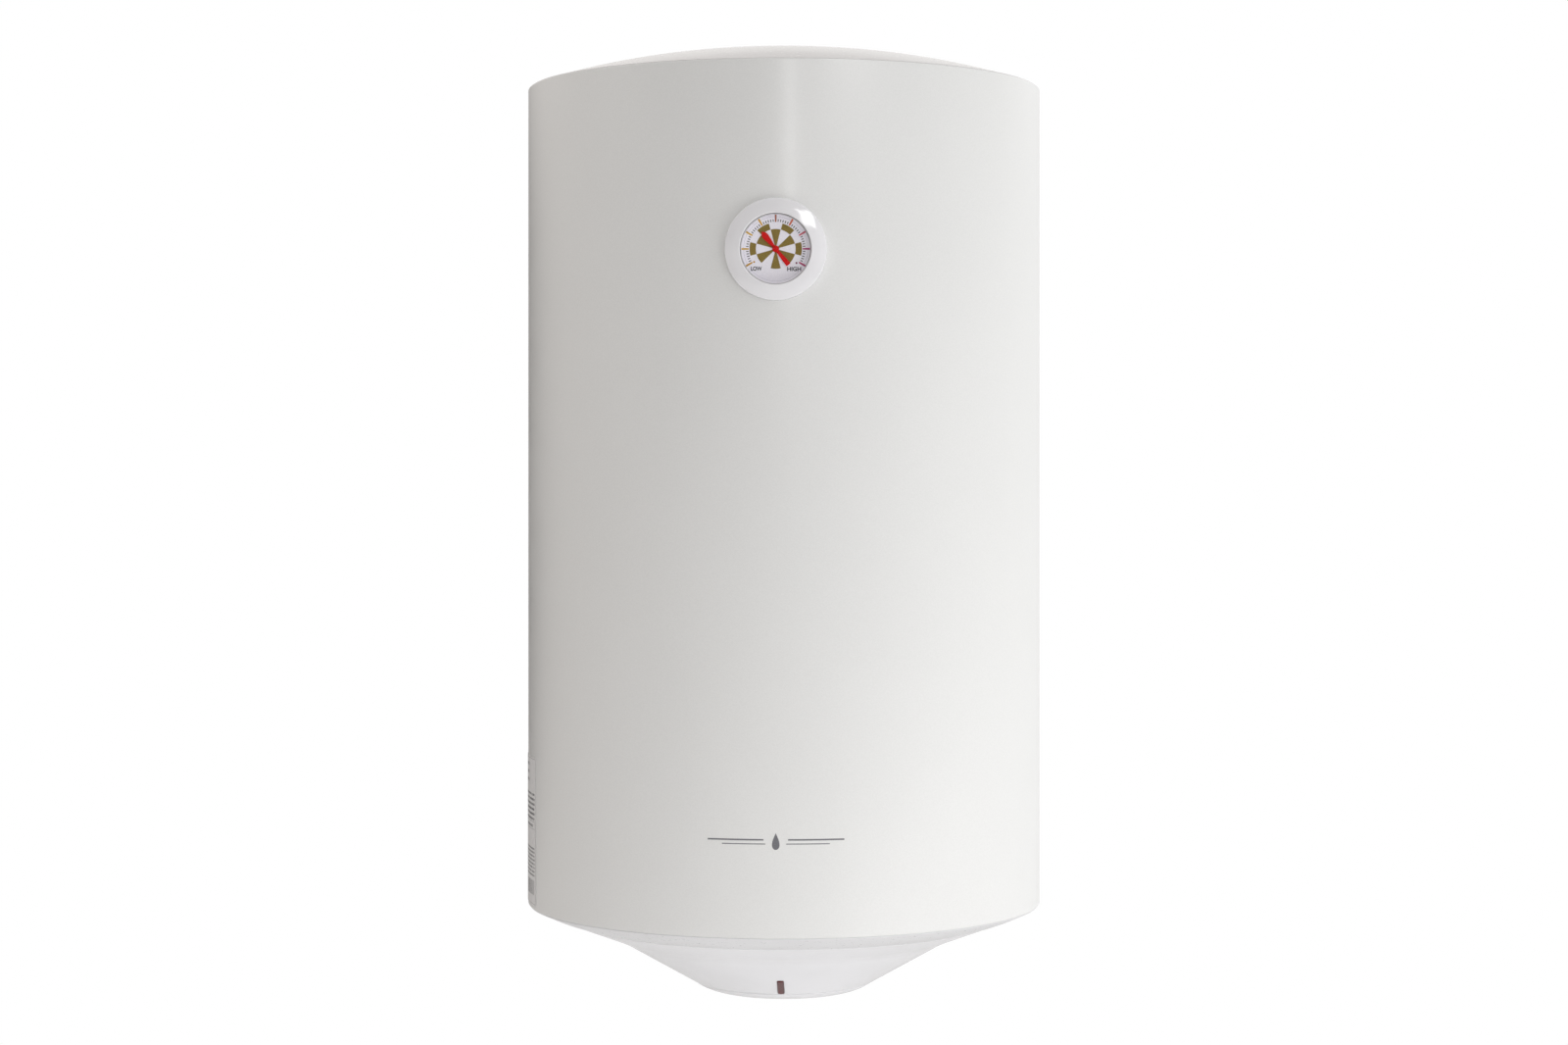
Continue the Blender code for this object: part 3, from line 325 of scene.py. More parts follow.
class Nodes:
    """Short-hand for building the nodes of a material, or of the world."""

    def __init__(self, owner, place="Object"):
        owner.use_nodes = True
        self.owner = owner
        self.tree = owner.node_tree
        if place == "Object":
            self.shader = self.tree.nodes["Principled BSDF"]
            self.output = self.tree.nodes["Material Output"]
        else:
            self.tree.nodes.clear()
            self.output = self.add("OutputWorld")
        self.place = self.add("TexCoord").outputs[place]

    def add(self, kind, **settings):
        node = self.tree.nodes.new("ShaderNode" + kind)
        for key, value in settings.items():
            setattr(node, key, value)
        return node

    def feed(self, socket, value):
        """Links a socket, or sets it to a number or a colour."""
        if isinstance(value, (int, float)):
            socket.default_value = value
        elif isinstance(value, tuple):
            socket.default_value = (*value, 1.0)
        else:
            self.tree.links.new(value, socket)

    def put(self, node, **values):
        """Feeds a node's inputs, named with _ for a space, and gives its outputs."""
        for key, value in values.items():
            self.feed(node.inputs[key.replace("_", " ")], value)
        return node.outputs

    def texture(self, kind, scale, stretch=None, **settings):
        node = self.add(kind, **settings)
        place = self.place
        if stretch:
            mapping = self.add("Mapping")
            mapping.inputs["Scale"].default_value = stretch
            place = self.put(mapping, Vector=place)["Vector"]
        self.put(node, Scale=scale, Vector=place)
        return node

    def noise(self, scale, detail=2.0, rough=0.5, stretch=None):
        node = self.texture("TexNoise", scale, stretch)
        return self.put(node, Detail=detail, Roughness=rough)["Fac"]

    def cells(self, scale):
        return self.texture("TexVoronoi", scale).outputs["Distance"]

    def grains(self, scale):
        """One random number for each cell."""
        colour = self.texture("TexVoronoi", scale).outputs["Color"]
        return self.put(self.add("SeparateColor"), Color=colour)[0]

    def split(self):
        """The three coordinates of the place."""
        return self.put(self.add("SeparateXYZ"), Vector=self.place)

    def ramp(self, source, *stops):
        """Colour ramp over (position, colour) stops."""
        node = self.add("ValToRGB")
        elements = node.color_ramp.elements
        while len(elements) < len(stops):
            elements.new(0.5)
        for element, (position, colour) in zip(elements, stops):
            element.position = position
            element.color = (*colour, 1.0)
        return self.put(node, Fac=source)["Color"]

    def two(self, source, low, high):
        """Ramp between two 8-bit colours."""
        return self.ramp(source, (0.3, srgb(*low)), (0.7, srgb(*high)))

    def range(self, source, low, high, from_low=0.0, from_high=1.0, **settings):
        node = self.add("MapRange", **settings)
        self.put(node, Value=source, From_Min=from_low, From_Max=from_high, To_Min=low, To_Max=high)
        return node.outputs["Result"]

    def math(self, operation, a, b=0.0):
        node = self.add("Math", operation=operation)
        self.feed(node.inputs[0], a)
        self.feed(node.inputs[1], b)
        return node.outputs["Value"]

    def times(self, a, b):
        return self.math("MULTIPLY", a, b)

    def less(self, a, b):
        return self.math("SUBTRACT", a, b)

    def mix(self, factor, a, b):
        node = self.add("Mix", data_type="RGBA")
        for socket, value in ((0, factor), (6, a), (7, b)):
            self.feed(node.inputs[socket], value)
        return node.outputs[2]

    def bump(self, height, depth, strength=1.0, below=None):
        node = self.add("Bump")
        if below:
            self.put(node, Normal=below)
        return self.put(node, Strength=strength, Distance=depth, Height=height)["Normal"]

    def finish(self, colour, roughness, normal, **values):
        """Feeds the shader and gives the material."""
        self.put(self.shader, Base_Color=colour, Roughness=roughness, Normal=normal, **values)
        return self.owner

    def show_mix(self, factor, first, second):
        """Puts a mix of two shaders on the output."""
        both = self.add("MixShader")
        for i, source in enumerate((factor, first.outputs[0], second.outputs[0])):
            self.feed(both.inputs[i], source)
        self.feed(self.output.inputs["Surface"], both.outputs[0])


def material(name):
    return Nodes(bpy.data.materials.new(name))


def shade(colour, factor):
    return tuple(min(1.0, c * factor) for c in colour)


def tones(base, low, high):
    """Two stops of a ramp, a darker and a lighter shade of one colour."""
    return (0.3, shade(base, low)), (0.7, shade(base, high))


def pearl_paint():
    """Cream-white pearl enamel on sheet steel: fine flakes, orange peel and the sheet's slow waves."""
    n = material("pearl_enamel")
    base = srgb(228, 228, 227)
    flakes = n.ramp(n.grains(1500.0), (0.0, shade(base, 0.955)), (0.55, base), (1.0, shade(base, 1.04)))
    clouds = n.ramp(n.noise(9.0, 4.0, 0.55), *tones(base, 0.985, 1.01))
    handling = n.noise(26.0, 5.0, 0.6)
    peel = n.bump(n.noise(420.0, 2.0), 0.00002, 0.5)
    waves = n.bump(n.noise(7.0, 2.0, stretch=(1.0, 1.0, 0.35)), 0.0005, 0.5, peel)
    return n.finish(
        n.mix(0.5, flakes, clouds), n.range(handling, 0.34, 0.42, 0.35, 0.7), waves,
        Metallic=0.0, Coat_Weight=0.45, Coat_Roughness=0.2, IOR=1.5, Specular_IOR_Level=0.45,
    )


def gloss_white(name, rgb, rough):
    """Moulded glossy plastic: faint flow clouds, fine scuffs and a skin that isn't quite flat."""
    n = material(name)
    flow = n.ramp(n.noise(16.0, 3.0, 0.5), *tones(srgb(*rgb), 0.975, 1.015))
    scuff = n.noise(260.0, 5.0, 0.65, stretch=(1.0, 1.0, 3.0))
    skin = n.bump(n.noise(500.0, 2.0), 0.00001, 0.5)
    return n.finish(
        flow, n.range(scuff, rough * 0.9, rough * 1.2, 0.35, 0.75),
        n.bump(n.noise(14.0, 1.0), 0.00008, 0.35, skin), IOR=1.5, Specular_IOR_Level=0.5,
        Coat_Weight=0.15, Coat_Roughness=0.08,
    )


def plastic(name, rgb, rough=0.5, grain=1500.0, contrast=0.15):
    """Moulded plastic with a spark-eroded grain."""
    n = material(name)
    base = srgb(*rgb)
    texture = n.noise(grain, 3.0, 0.6)
    clouds = n.noise(40.0, 4.0, 0.6)
    grainy = n.ramp(texture, (0.3, shade(base, 1 - contrast)), (0.75, shade(base, 1 + contrast)))
    return n.finish(
        n.mix(n.range(clouds, 0.0, 0.6), grainy, shade(base, 1 + contrast / 2)),
        n.range(clouds, rough * 0.8, rough * 1.2, 0.3, 0.7), n.bump(texture, 0.00003, 0.7),
    )


def metal(name, rgb, rough, stretch, grain, spangle=0.0, depth=0.00001):
    """Bare or plated metal: drawn or turned lines, patchy sheen and, if asked, zinc spangle."""
    n = material(name)
    base = srgb(*rgb)
    lines = n.noise(grain, 4.0, 0.6, stretch=stretch)
    patches = n.noise(45.0, 5.0, 0.65)
    tone = n.ramp(lines, *tones(base, 0.86, 1.08))
    if spangle:
        crystal = n.ramp(n.grains(spangle), (0.0, shade(base, 0.8)), (1.0, shade(base, 1.12)))
        tone = n.mix(0.55, tone, crystal)
    return n.finish(
        n.mix(n.range(patches, 0.0, 0.35, 0.4, 0.8), tone, shade(base, 0.72)),
        n.range(patches, rough * 0.75, rough * 1.5, 0.3, 0.7), n.bump(lines, depth, 0.6), Metallic=1.0,
    )


def foam():
    """Open polyurethane foam: amber, with cut cells of several sizes."""
    n = material("polyurethane_foam")
    cells = n.cells(420.0)
    large = n.noise(60.0, 5.0, 0.7)
    fine = n.ramp(cells, (0.0, srgb(168, 138, 70)), (0.6, srgb(232, 208, 140)))
    coarse = n.two(large, (196, 166, 96), (236, 214, 150))
    pits = n.bump(cells, 0.0006, 0.9, n.bump(large, 0.002, 0.6))
    return n.finish(n.mix(0.5, fine, coarse), n.range(large, 0.8, 1.0), pits)


def enamel():
    """Blue vitreous enamel with its speckle and fish-scale pits."""
    n = material("blue_vitreous_enamel")
    clouds = n.noise(22.0, 5.0, 0.6)
    blue = n.two(clouds, (28, 44, 84), (52, 74, 122))
    specks = n.range(n.cells(700.0), 0.8, 0.0, 0.0, 0.3)
    return n.finish(
        n.mix(specks, blue, srgb(120, 138, 170)), n.range(clouds, 0.18, 0.4),
        n.bump(n.noise(180.0, 3.0), 0.0002, 0.6), Coat_Weight=0.4, Coat_Roughness=0.1,
    )


def clear(name, tint=(1.0, 1.0, 1.0), gloss=1.45):
    """Thin clear moulding: see-through, with a surface reflection that grows at grazing angles."""
    n = material(name)
    through, shine = n.add("BsdfTransparent"), n.add("BsdfGlossy")
    n.put(through, Color=tint)
    smear = n.range(n.noise(60.0, 4.0, 0.6), 0.12, 0.20, 0.4, 0.8)
    n.put(shine, Roughness=smear, Normal=n.bump(n.noise(30.0, 1.0), 0.00001, 0.2))
    edge = n.put(n.add("Fresnel"), IOR=gloss)["Fac"]
    outer = n.less(1.0, n.add("NewGeometry").outputs["Backfacing"])
    n.show_mix(n.times(edge, outer), through, shine)
    return n.owner


def indicator_red():
    """Dark red ribbed diffuser."""
    n = material("indicator_red")
    bands = {"wave_type": "BANDS", "bands_direction": "Z", "wave_profile": "SIN"}
    ribs = n.texture("TexWave", 260.0, **bands).outputs["Fac"]
    depth = n.noise(120.0, 3.0)
    body = n.two(depth, (66, 16, 20), (88, 26, 30))
    return n.finish(
        n.mix(n.range(ribs, 0.0, 0.35), body, srgb(104, 40, 42)), n.range(depth, 0.12, 0.3),
        n.bump(ribs, 0.00012, 0.6), Specular_IOR_Level=0.3, Coat_Weight=0.1, Coat_Roughness=0.05,
    )


def ink(name, rgb, rough=0.45):
    """Screen-printed ink, a little uneven in density."""
    n = material(name)
    density = n.noise(900.0, 3.0, 0.6)
    return n.finish(
        n.ramp(density, *tones(srgb(*rgb), 0.9, 1.1)), n.range(density, rough * 0.85, rough * 1.2),
        n.bump(density, 0.00001, 0.5), Specular_IOR_Level=0.15,
    )


def dial_face():
    """Satin white card of the dial, a little lavender."""
    n = material("dial_card")
    tone = n.noise(700.0, 3.0)
    card = n.two(tone, (237, 234, 243), (243, 240, 248))
    return n.finish(card, n.range(tone, 0.45, 0.6), n.bump(tone, 0.00001, 0.5))


def plate_span():
    """The printed plate's lower and upper end, and the angles of its front and back edge about the axis."""
    low, high = corners("rating_label")
    front, back = (
        math.atan2(y, -math.sqrt(R * R - y * y)) % math.tau for y in (low.y - AXIS.y, high.y - AXIS.y)
    )
    return low.z, high.z, front, back


def paper_label():
    """Printed plate: a fine border, bars for words, a ruled box and a bar pattern, none of it readable."""
    low, high, front, back = plate_span()
    wide, tall = (front - back) * R, high - low
    n = material("rating_plate")
    x, y, z = n.split()
    up = n.less(z, low)
    turn = n.math("ARCTAN2", n.less(y, AXIS.y), n.times(x, -1.0))
    along = n.less(wide, n.times(n.less(turn, math.pi - front), R))

    def within(value, start, end):
        return n.times(n.math("GREATER_THAN", value, start), n.math("LESS_THAN", value, end))

    def area(left, right, bottom, top):
        return n.times(within(along, left, right), within(up, bottom, top))

    def ruled(left, right, bottom, top, thick=0.0003):
        inner = area(left + thick, right - thick, bottom + thick, top - thick)
        return n.less(area(left, right, bottom, top), inner)

    def lines(bottom, top, left, right, pitch, duty, letter, share):
        """Rows of bars as long as words."""
        row = n.math("DIVIDE", n.less(up, bottom), pitch)
        across, down = n.times(along, 1 / letter), n.times(n.math("FLOOR", row), 7.3)
        spot = n.put(n.add("CombineXYZ"), X=across, Y=down)["Vector"]
        words = n.add("TexNoise", noise_dimensions="2D")
        word_here = n.math("GREATER_THAN", n.put(words, Vector=spot, Scale=1.0, Detail=1.5)["Fac"], share)
        bar = n.times(word_here, n.math("LESS_THAN", n.math("FRACT", row), duty))
        return n.times(bar, area(left, right, bottom, top))

    margin, edge = 0.0010, 0.0035
    parts = [
        (ruled(margin, wide - margin, margin, tall - margin), 0.75),
        (lines(0.1055, 0.1255, edge, wide - 0.030, 0.0068, 0.40, 0.0026, 0.44), 0.75),
        (lines(0.0735, 0.0970, edge, wide - edge, 0.0042, 0.46, 0.0012, 0.42), 0.85),
        (ruled(edge, wide - edge, 0.0655, 0.0722), 0.75),
        (ruled(edge, wide / 3, 0.0655, 0.0722), 0.75),
        (lines(0.0672, 0.0705, edge + 0.0020, wide - 0.0100, 0.0066, 0.34, 0.0016, 0.46), 0.8),
        (lines(0.0250, 0.0495, edge, wide - edge, 0.0033, 0.50, 0.0009, 0.43), 0.75),
        (lines(0.0120, 0.0240, edge, wide * 0.45, 0.0033, 0.50, 0.0009, 0.43), 0.7),
    ]
    stripes = n.add("TexNoise", noise_dimensions="1D")
    stripes = n.put(stripes, W=along, Scale=900.0, Detail=0.0)["Fac"]
    box = area(wide * 0.56, wide - 0.0060, 0.0090, 0.0215)
    printed = n.times(n.times(n.math("GREATER_THAN", stripes, 0.5), box), 0.8)
    for mask, dark in parts:
        printed = n.math("MAXIMUM", printed, n.times(mask, dark))
    paper = n.two(n.noise(300.0, 3.0), (222, 221, 221), (231, 230, 230))
    return n.finish(
        n.mix(printed, paper, srgb(62, 62, 68)), n.range(printed, 0.34, 0.5),
        n.bump(n.noise(600.0, 2.0), 0.00002, 0.4), Specular_IOR_Level=0.2,
    )


# ---- casing


def dome_height(radius):
    return DOME_RISE * (1 - min(1.0, radius / CAP_EDGE) ** DOME_POWER)


def casing(paint, cap, trim):
    height = TOP - BOTTOM
    roll = 0.0011
    wall, inside = R - SHEET, R - LIP
    outline = [
        (inside, 0.0), (R, 0.0, roll), (R, height, roll), (inside, height), (inside, height - SHEET),
        (wall, height - SHEET, roll - SHEET), (wall, SHEET, roll - SHEET), (inside, SHEET),
    ]
    jacket = lathe(filleted(outline), 256)
    piece("jacket", jacket, paint, "outer_jacket", at_axis())
    half = 0.007 / R
    seam = band(R - 0.0004, R + 0.0005, 6, math.pi / 2 - half, 2 * half)
    strip = slab(seam, 0.0080, height - 0.0080, 0.0002, 1)
    piece("jacket_seam", strip, paint, at=at_axis())

    radii = [CAP_EDGE * math.sin(math.pi / 2 * i / 40) for i in range(37)]
    skirt = R - LIP - 0.0004
    dome = [(r, dome_height(r)) for r in radii] + [
        (CAP_EDGE, 0.0005, 0.0003), (CAP_EDGE, 0.0001), (skirt, 0.0001), (skirt, -0.011),
        (skirt - 0.0020, -0.011), (skirt - 0.0020, 0.001), (0.16, dome_height(0.16) - WALL),
        (0.0, DOME_RISE - WALL),
    ]
    dome = placed(lathe(filleted(dome, 3), 256), shift(AXIS.x, AXIS.y, TOP))
    piece("top_dome", dome, cap, "top_cap")

    edge, seat = R - 0.0013, RING_R + 0.0001
    ring = [
        (skirt - 0.0018, 0.010), (skirt, 0.010), (skirt, -0.0001), (edge, -0.0001, 0.0002),
        (edge, -0.0010, 0.0005), (BULGE_R, -BULGE_DEPTH, 0.12), (seat, -RING_DEPTH, 0.0005),
        (seat, -RING_DEPTH + 0.0022), (skirt - 0.0018, -0.0034),
    ]
    ring = lathe(filleted(ring), 256)
    piece("trim_ring", ring, trim, "bottom_trim_ring", at_axis())


def lens_frame():
    """Where the indicator lens lies: local Y runs up the cone's front, local Z points out of it."""
    low, high = corners("indicator_lens")
    tilt = math.atan(CONE_SLOPE)
    up = Vector((0, -math.cos(tilt), math.sin(tilt)))
    out = Vector((0, -math.sin(tilt), -math.cos(tilt)))
    place = Matrix((up.cross(out), up, out)).transposed().to_4x4()
    depth = KINK_DEPTH + (KINK_R - LENS_R) * CONE_SLOPE
    place.translation = Vector(((low.x + high.x) / 2, AXIS.y - LENS_R, BOTTOM - depth))
    return place


def pipe_places():
    for side in ("cold", "hot"):
        low, high = corners(f"{side}_water_nipple")
        yield side, (low.x + high.x) / 2 - AXIS.x, (low.y + high.y) / 2 - AXIS.y, (high.x - low.x) / 2


def bottom_cover(gloss):
    """The dished cover and its cone, with the lens slot and two pipe holes cut through."""
    rim, ledge = RING_R - 0.00005, 0.0605
    slope = (KINK_DEPTH - RING_DEPTH) / (RING_R - KINK_R)
    outline = [
        (rim - 0.002, -0.001), (rim, -0.001), (rim, -RING_DEPTH - 0.0002, 0.0007),
        (KINK_R, -KINK_DEPTH, 0.12), (CONE_R, -CONE_DEPTH, 0.0008), (CONE_R - 0.003, -CONE_DEPTH),
        (CONE_R - 0.003, -CONE_DEPTH + 0.0016), (ledge, -CONE_DEPTH + 0.0016),
        (ledge, -CONE_DEPTH + 0.0040), (CONE_R + 0.0020, -CONE_DEPTH + 0.0040),
        (KINK_R, -KINK_DEPTH + WALL, 0.03), (rim - 0.002, -RING_DEPTH + WALL * slope + WALL),
    ]
    body = placed(lathe(filleted(outline, 14), 224), at_axis())
    cutters = [placed(slab(round_box(0.0061, 0.0306, 0.0016), -0.006, 0.010), lens_frame())]
    for _, x, back, radius in pipe_places():
        cutters.append(placed(slab(arc(radius + 0.0030, 48), -0.09, 0.0), at_axis(x, back)))
    body = shaded(cut(body, cutters))
    piece("bottom_dish", body, gloss, "bottom_cover")


def service_lid(gloss, steel, mark):
    """The bowl-shaped lid with the knob's recess and scale, the gland's spot face and two screws."""
    edge, step, floor_r = CONE_R - 0.00035, CONE_R - 0.0036, 0.0610
    curve = smooth_run([(0.0300, BASE_DEPTH), *BOWL, (edge, CONE_DEPTH + 0.0004)], 5)
    bowl = [(r, -depth) for r, depth in curve[7:]]
    outline = [
        (0.0050, -RECESS_DEPTH), (0.0300, -RECESS_DEPTH, 0.0015), (0.0325, -BASE_DEPTH, 0.0010),
        (BASE_R, -BASE_DEPTH), *bowl, (edge, -CONE_DEPTH - 0.0001), (step, -CONE_DEPTH - 0.0001),
        (step, -CONE_DEPTH + 0.0012), (floor_r, -CONE_DEPTH + 0.0012), (floor_r, -LID_FLOOR),
        (0.0350, -LID_FLOOR), (0.0325, -RECESS_DEPTH + 0.0022), (0.0050, -RECESS_DEPTH + 0.0022),
    ]
    body = lathe(filleted(outline, 7), 160)
    low, high = corners("cable_gland")
    spot = shift(0, (low.y + high.y) / 2 - AXIS.y)
    cutters = [
        placed(slab(arc(0.0083, 32), -0.09, -0.05), spot),
        placed(slab(arc(0.0125, 48), -0.09, -GLAND_SEAT), spot),
    ]
    for sign in (-1, 1):
        for radius, steps, depth in ((0.0043, 32, 0.0723), (0.0021, 24, 0.055)):
            seat = slab(arc(radius, steps), -0.085, -depth)
            cutters.append(placed(seat, shift(sign * LID_SCREW_R)))
    body = shaded(cut(body, cutters))
    piece("service_disc", body, gloss, "service_lid", at_axis())

    marks = []
    on_bowl = shift(0.0380, 0, -0.0808) @ Matrix.Rotation(math.radians(-5.6), 4, "Y")
    for i in range(KNOB_MARKS + 1):
        if i == MARK_AT_GLAND:
            continue
        turn = Matrix.Rotation(math.radians(KNOB_SWEEP * i / KNOB_MARKS + KNOB_START), 4, "Z")
        width = 0.0006 + 0.00012 * i  # they grow towards hot
        tick = slab(round_box(0.0042, width, width * 0.4, 3), -0.00008, 0.0002)
        marks.append(placed(tick, turn @ on_bowl))
    piece("knob_scale", joined(marks), mark, at=at_axis())

    for side, sign in (("left", -1), ("right", 1)):
        head = [
            (0.0, -0.0748), (0.0016, -0.0747, 0.001), (0.0033, -0.0739, 0.001), (0.0038, -0.0728, 0.0004),
            (0.0036, -0.0726), (0.0017, -0.0726), (0.0017, -0.0605), (0.0, -0.0592),
        ]
        cross = [
            placed(slab(round_box(0.0046, 0.0007, 0.0002, 2), -0.0770, -0.0738), turned)
            for turned in (Matrix.Identity(4), Matrix.Rotation(math.pi / 2, 4, "Z"))
        ]
        screw = cut(lathe(filleted(head, 4), 48), cross)
        place = at_axis(sign * LID_SCREW_R) @ Matrix.Rotation(0.5 + 0.9 * sign, 4, "Z")
        name = f"lid_screw_{side}"
        piece(f"{name}_head", screw, steel, name, place)


def knob(gloss, mark):
    """A fluted disc with a grip bar across it and a line on the bar."""
    low, high = corners("temperature_knob")
    radius = (high.x - low.x) / 2
    face, under = high.z - BOTTOM, low.z - BOTTOM
    back = face - 0.0024
    disc = [
        (0.0034, face), (radius, face, 0.0006), (radius, back, 0.0009), (radius - 0.0020, back),
        (0.0034, back),
    ]
    disc = lathe(filleted(disc), 288, grooves(36, 0.00035, radius * 0.93))
    bar = slab(round_box(0.0118, 0.0438, 0.0050, 10), under, face - 0.0012, 0.0011, 4)
    body = shaded(cut(disc, [bar], "UNION"))
    piece("knob_body", body, gloss, "temperature_knob", at_axis(), body="knob")
    line = slab(round_box(0.0011, 0.0120, 0.0005, 6), under - 0.00004, under + 0.0003)
    piece("knob_line", line, mark, at=at_axis(0, -0.0135), body="knob")


# ---- pipes, gland


def thread(outer, bore, low, high, start, pitch=0.001814, depth=0.0009, steps=72):
    """Pipe with a male thread from its lower end up to start, cut as a helix."""
    per = 8
    turns = range(int((start - low) / pitch * per))
    heights = [low, low + 0.0004] + [low + 0.0010 + pitch / per * i for i in turns] + [start + pitch, high]
    verts = []
    for i in range(steps):
        a = math.tau * i / steps
        for z in heights:
            phase = (z / pitch + a / math.tau) % 1.0
            tooth = min(1.0, max(0.0, abs(2 * phase - 1) * 1.25 - 0.12))
            fade = min(1.0, max(0.0, (start - z) / pitch)) * min(1.0, max(0.35, (z - low) / 0.0014))
            lead = max(0.0, 1.0 - (z - low) / 0.0012) * 0.0010
            r = outer - depth * tooth * fade - lead
            verts.append((r * math.cos(a), r * math.sin(a), z))
        verts.append((bore * math.cos(a), bore * math.sin(a), high))
        verts.append((bore * math.cos(a), bore * math.sin(a), low))
    return ring_mesh(verts, steps, len(heights) + 2, 28)


def pipes(steel, blue, red):
    """Threaded pipe ends and their ribbed collars."""
    finishes = {"cold": (blue, "collar_blue"), "hot": (red, "collar_red")}
    for side, x, back, radius in pipe_places():
        place = at_axis(x, back)
        name = f"{side}_nipple_thread"
        low, high = (c.z - BOTTOM for c in corners(f"{side}_water_nipple"))
        pipe = thread(radius, 0.0075, low, high, low + 0.0142)
        piece(name, pipe, steel, f"{side}_water_nipple", place)
        down, up = (c.z - BOTTOM for c in corners(f"{side}_pipe_collar"))
        outer, inner = 0.0165, radius + 0.0003
        ring = [
            (inner, up), (outer, up, 0.0004), (outer, up - 0.0030, 0.0004), (0.0142, down, 0.0008),
            (inner, down),
        ]
        collar = lathe(filleted(ring), 200, grooves(20, 0.0004, 0.0155))
        finish, slot = finishes[side]
        piece(f"{side}_collar", collar, finish, f"{side}_pipe_collar", place)


def gland(black):
    """Cable gland: a ribbed cap nut, its hexagon and a rubber seal with an open bore."""
    low, high = corners("cable_gland")
    place = at_axis(0, (low.y + high.y) / 2 - AXIS.y)
    down, up = low.z - BOTTOM, high.z - BOTTOM
    seat = -GLAND_SEAT - 0.0003
    nut = [
        (0.0045, down, 0.0006), (0.0068, down, 0.0008), (0.0092, down + 0.0022, 0.0015),
        (0.0098, seat - 0.0052, 0.0005), (0.0098, seat - 0.0046), (0.0080, seat - 0.0030),
        (0.0080, up, 0.0004), (0.0045, up),
    ]
    cap = lathe(filleted(nut), 144, grooves(12, 0.0006, 0.0088, seat))
    corner_r = (high.y - low.y) / 2 / math.cos(math.pi / 6)
    sides = filleted([(*p, 0.0006) for p in arc(corner_r, 6)], 3)
    hexagon = slab(sides, seat - 0.0044, seat, 0.0004, 2)
    hexagon = cut(hexagon, [slab(arc(0.0079, 48), -0.12, -0.04)])
    both = joined([cap, hexagon])
    piece("gland_nut", both, black, "cable_gland", place)
    seal = [
        (0.0034, down + 0.0016, 0.0004), (0.0044, down + 0.0010, 0.0003), (0.0044, down + 0.0100),
        (0.0034, down + 0.0100),
    ]
    piece("gland_seal", lathe(filleted(seal, 3), 64), black, at=place)


# ---- indicator, label, emblem


def indicator(red):
    lens = slab(round_box(0.0055, 0.0300, 0.0014, 8), -0.0034, 0.0009, 0.0005, 4)
    piece("indicator_window", lens, red, "indicator_lens", lens_frame())


def label(finish):
    low, high, front, back = plate_span()
    outline = band(R + 0.0001, R + 0.00045, 24, back, front - back)
    plate = slab(outline, low, high, 0.0001, 1)
    piece("rating_plate", plate, finish, "rating_label", Matrix.Translation(AXIS))


def wrap(mesh, height):
    """Bends a flat drawing, in X across and Z up, on to the jacket's front at that height."""
    for v in mesh.vertices:
        a = v.co.x / R
        out = R + v.co.y
        v.co = Vector((AXIS.x + out * math.sin(a), AXIS.y - out * math.cos(a), height + v.co.z))
    return mesh


def flat_mark(outline):
    """A thin raised shape from an outline of (across, up) points."""
    return mesh_of(extruded([(x, 0.00002, z) for x, z in outline], (0, 0.00008, 0)))


def emblem(grey):
    """A plain water drop between two pairs of fine lines."""
    turns = [math.tau * i / 48 for i in range(48)]
    drop = [(0.0042 * math.sin(t) * math.sin(t / 2) ** 1.3, 0.0068 * math.cos(t)) for t in turns]
    marks = [flat_mark(drop)]
    parts = 12  # short lengths, so that they follow the curve
    lines = ((0.0013, 0.0012, 0.0100, 0.0560), (-0.0021, 0.0007, 0.0085, 0.0440))
    for sign in (-1, 1):
        for up, thick, inner, outer in lines:
            xs = [sign * (inner + (outer - inner) * i / parts) for i in range(parts + 1)]
            low, high = up - thick / 2, up + thick / 2
            for a, b in zip(xs, xs[1:]):
                marks.append(flat_mark([(a, low), (b, low), (b, high), (a, high)]))
    piece("emblem", wrap(joined(marks), BOTTOM + EMBLEM_HEIGHT), grey)


# ---- thermometer

GOLD = (135, 115, 55)
SCALE_COLOURS = (
    (195, 150, 60), (205, 165, 80), (205, 165, 60), (215, 165, 60), (165, 100, 80),
    (205, 105, 75), (195, 85, 100), (185, 80, 130), (180, 60, 110),
)


def sector(inner, outer, centre, width, steps=6):
    """Outline of a ring sector, in degrees anticlockwise from +X, or of a whole slice if inner is 0."""
    start, turn = math.radians(centre - width / 2), math.radians(width)
    if inner:
        return band(inner, outer, steps, start, turn)
    return arc(outer, steps, start=start, turn=turn) + [(0.0, 0.0)]


def on_gauge(name, mesh, finish, node=None):
    piece(name, mesh, finish, node, GAUGE_PLACE)


def word(text, x, y, width, height, z):
    curve = bpy.data.curves.new("word", "FONT")
    curve.body = text
    curve.size = height / 0.72
    curve.align_x, curve.align_y = "CENTER", "CENTER"
    curve.extrude = 0.00003
    curve.offset = 0.00012
    obj = linked("word", curve)
    mesh = settled(obj)
    bpy.data.objects.remove(obj)
    across = [v.co.x for v in mesh.vertices]
    scale = width / (max(across) - min(across))
    return placed(mesh, Matrix.Translation((x, y, z)) @ Matrix.Diagonal((scale, 1, 1, 1)))


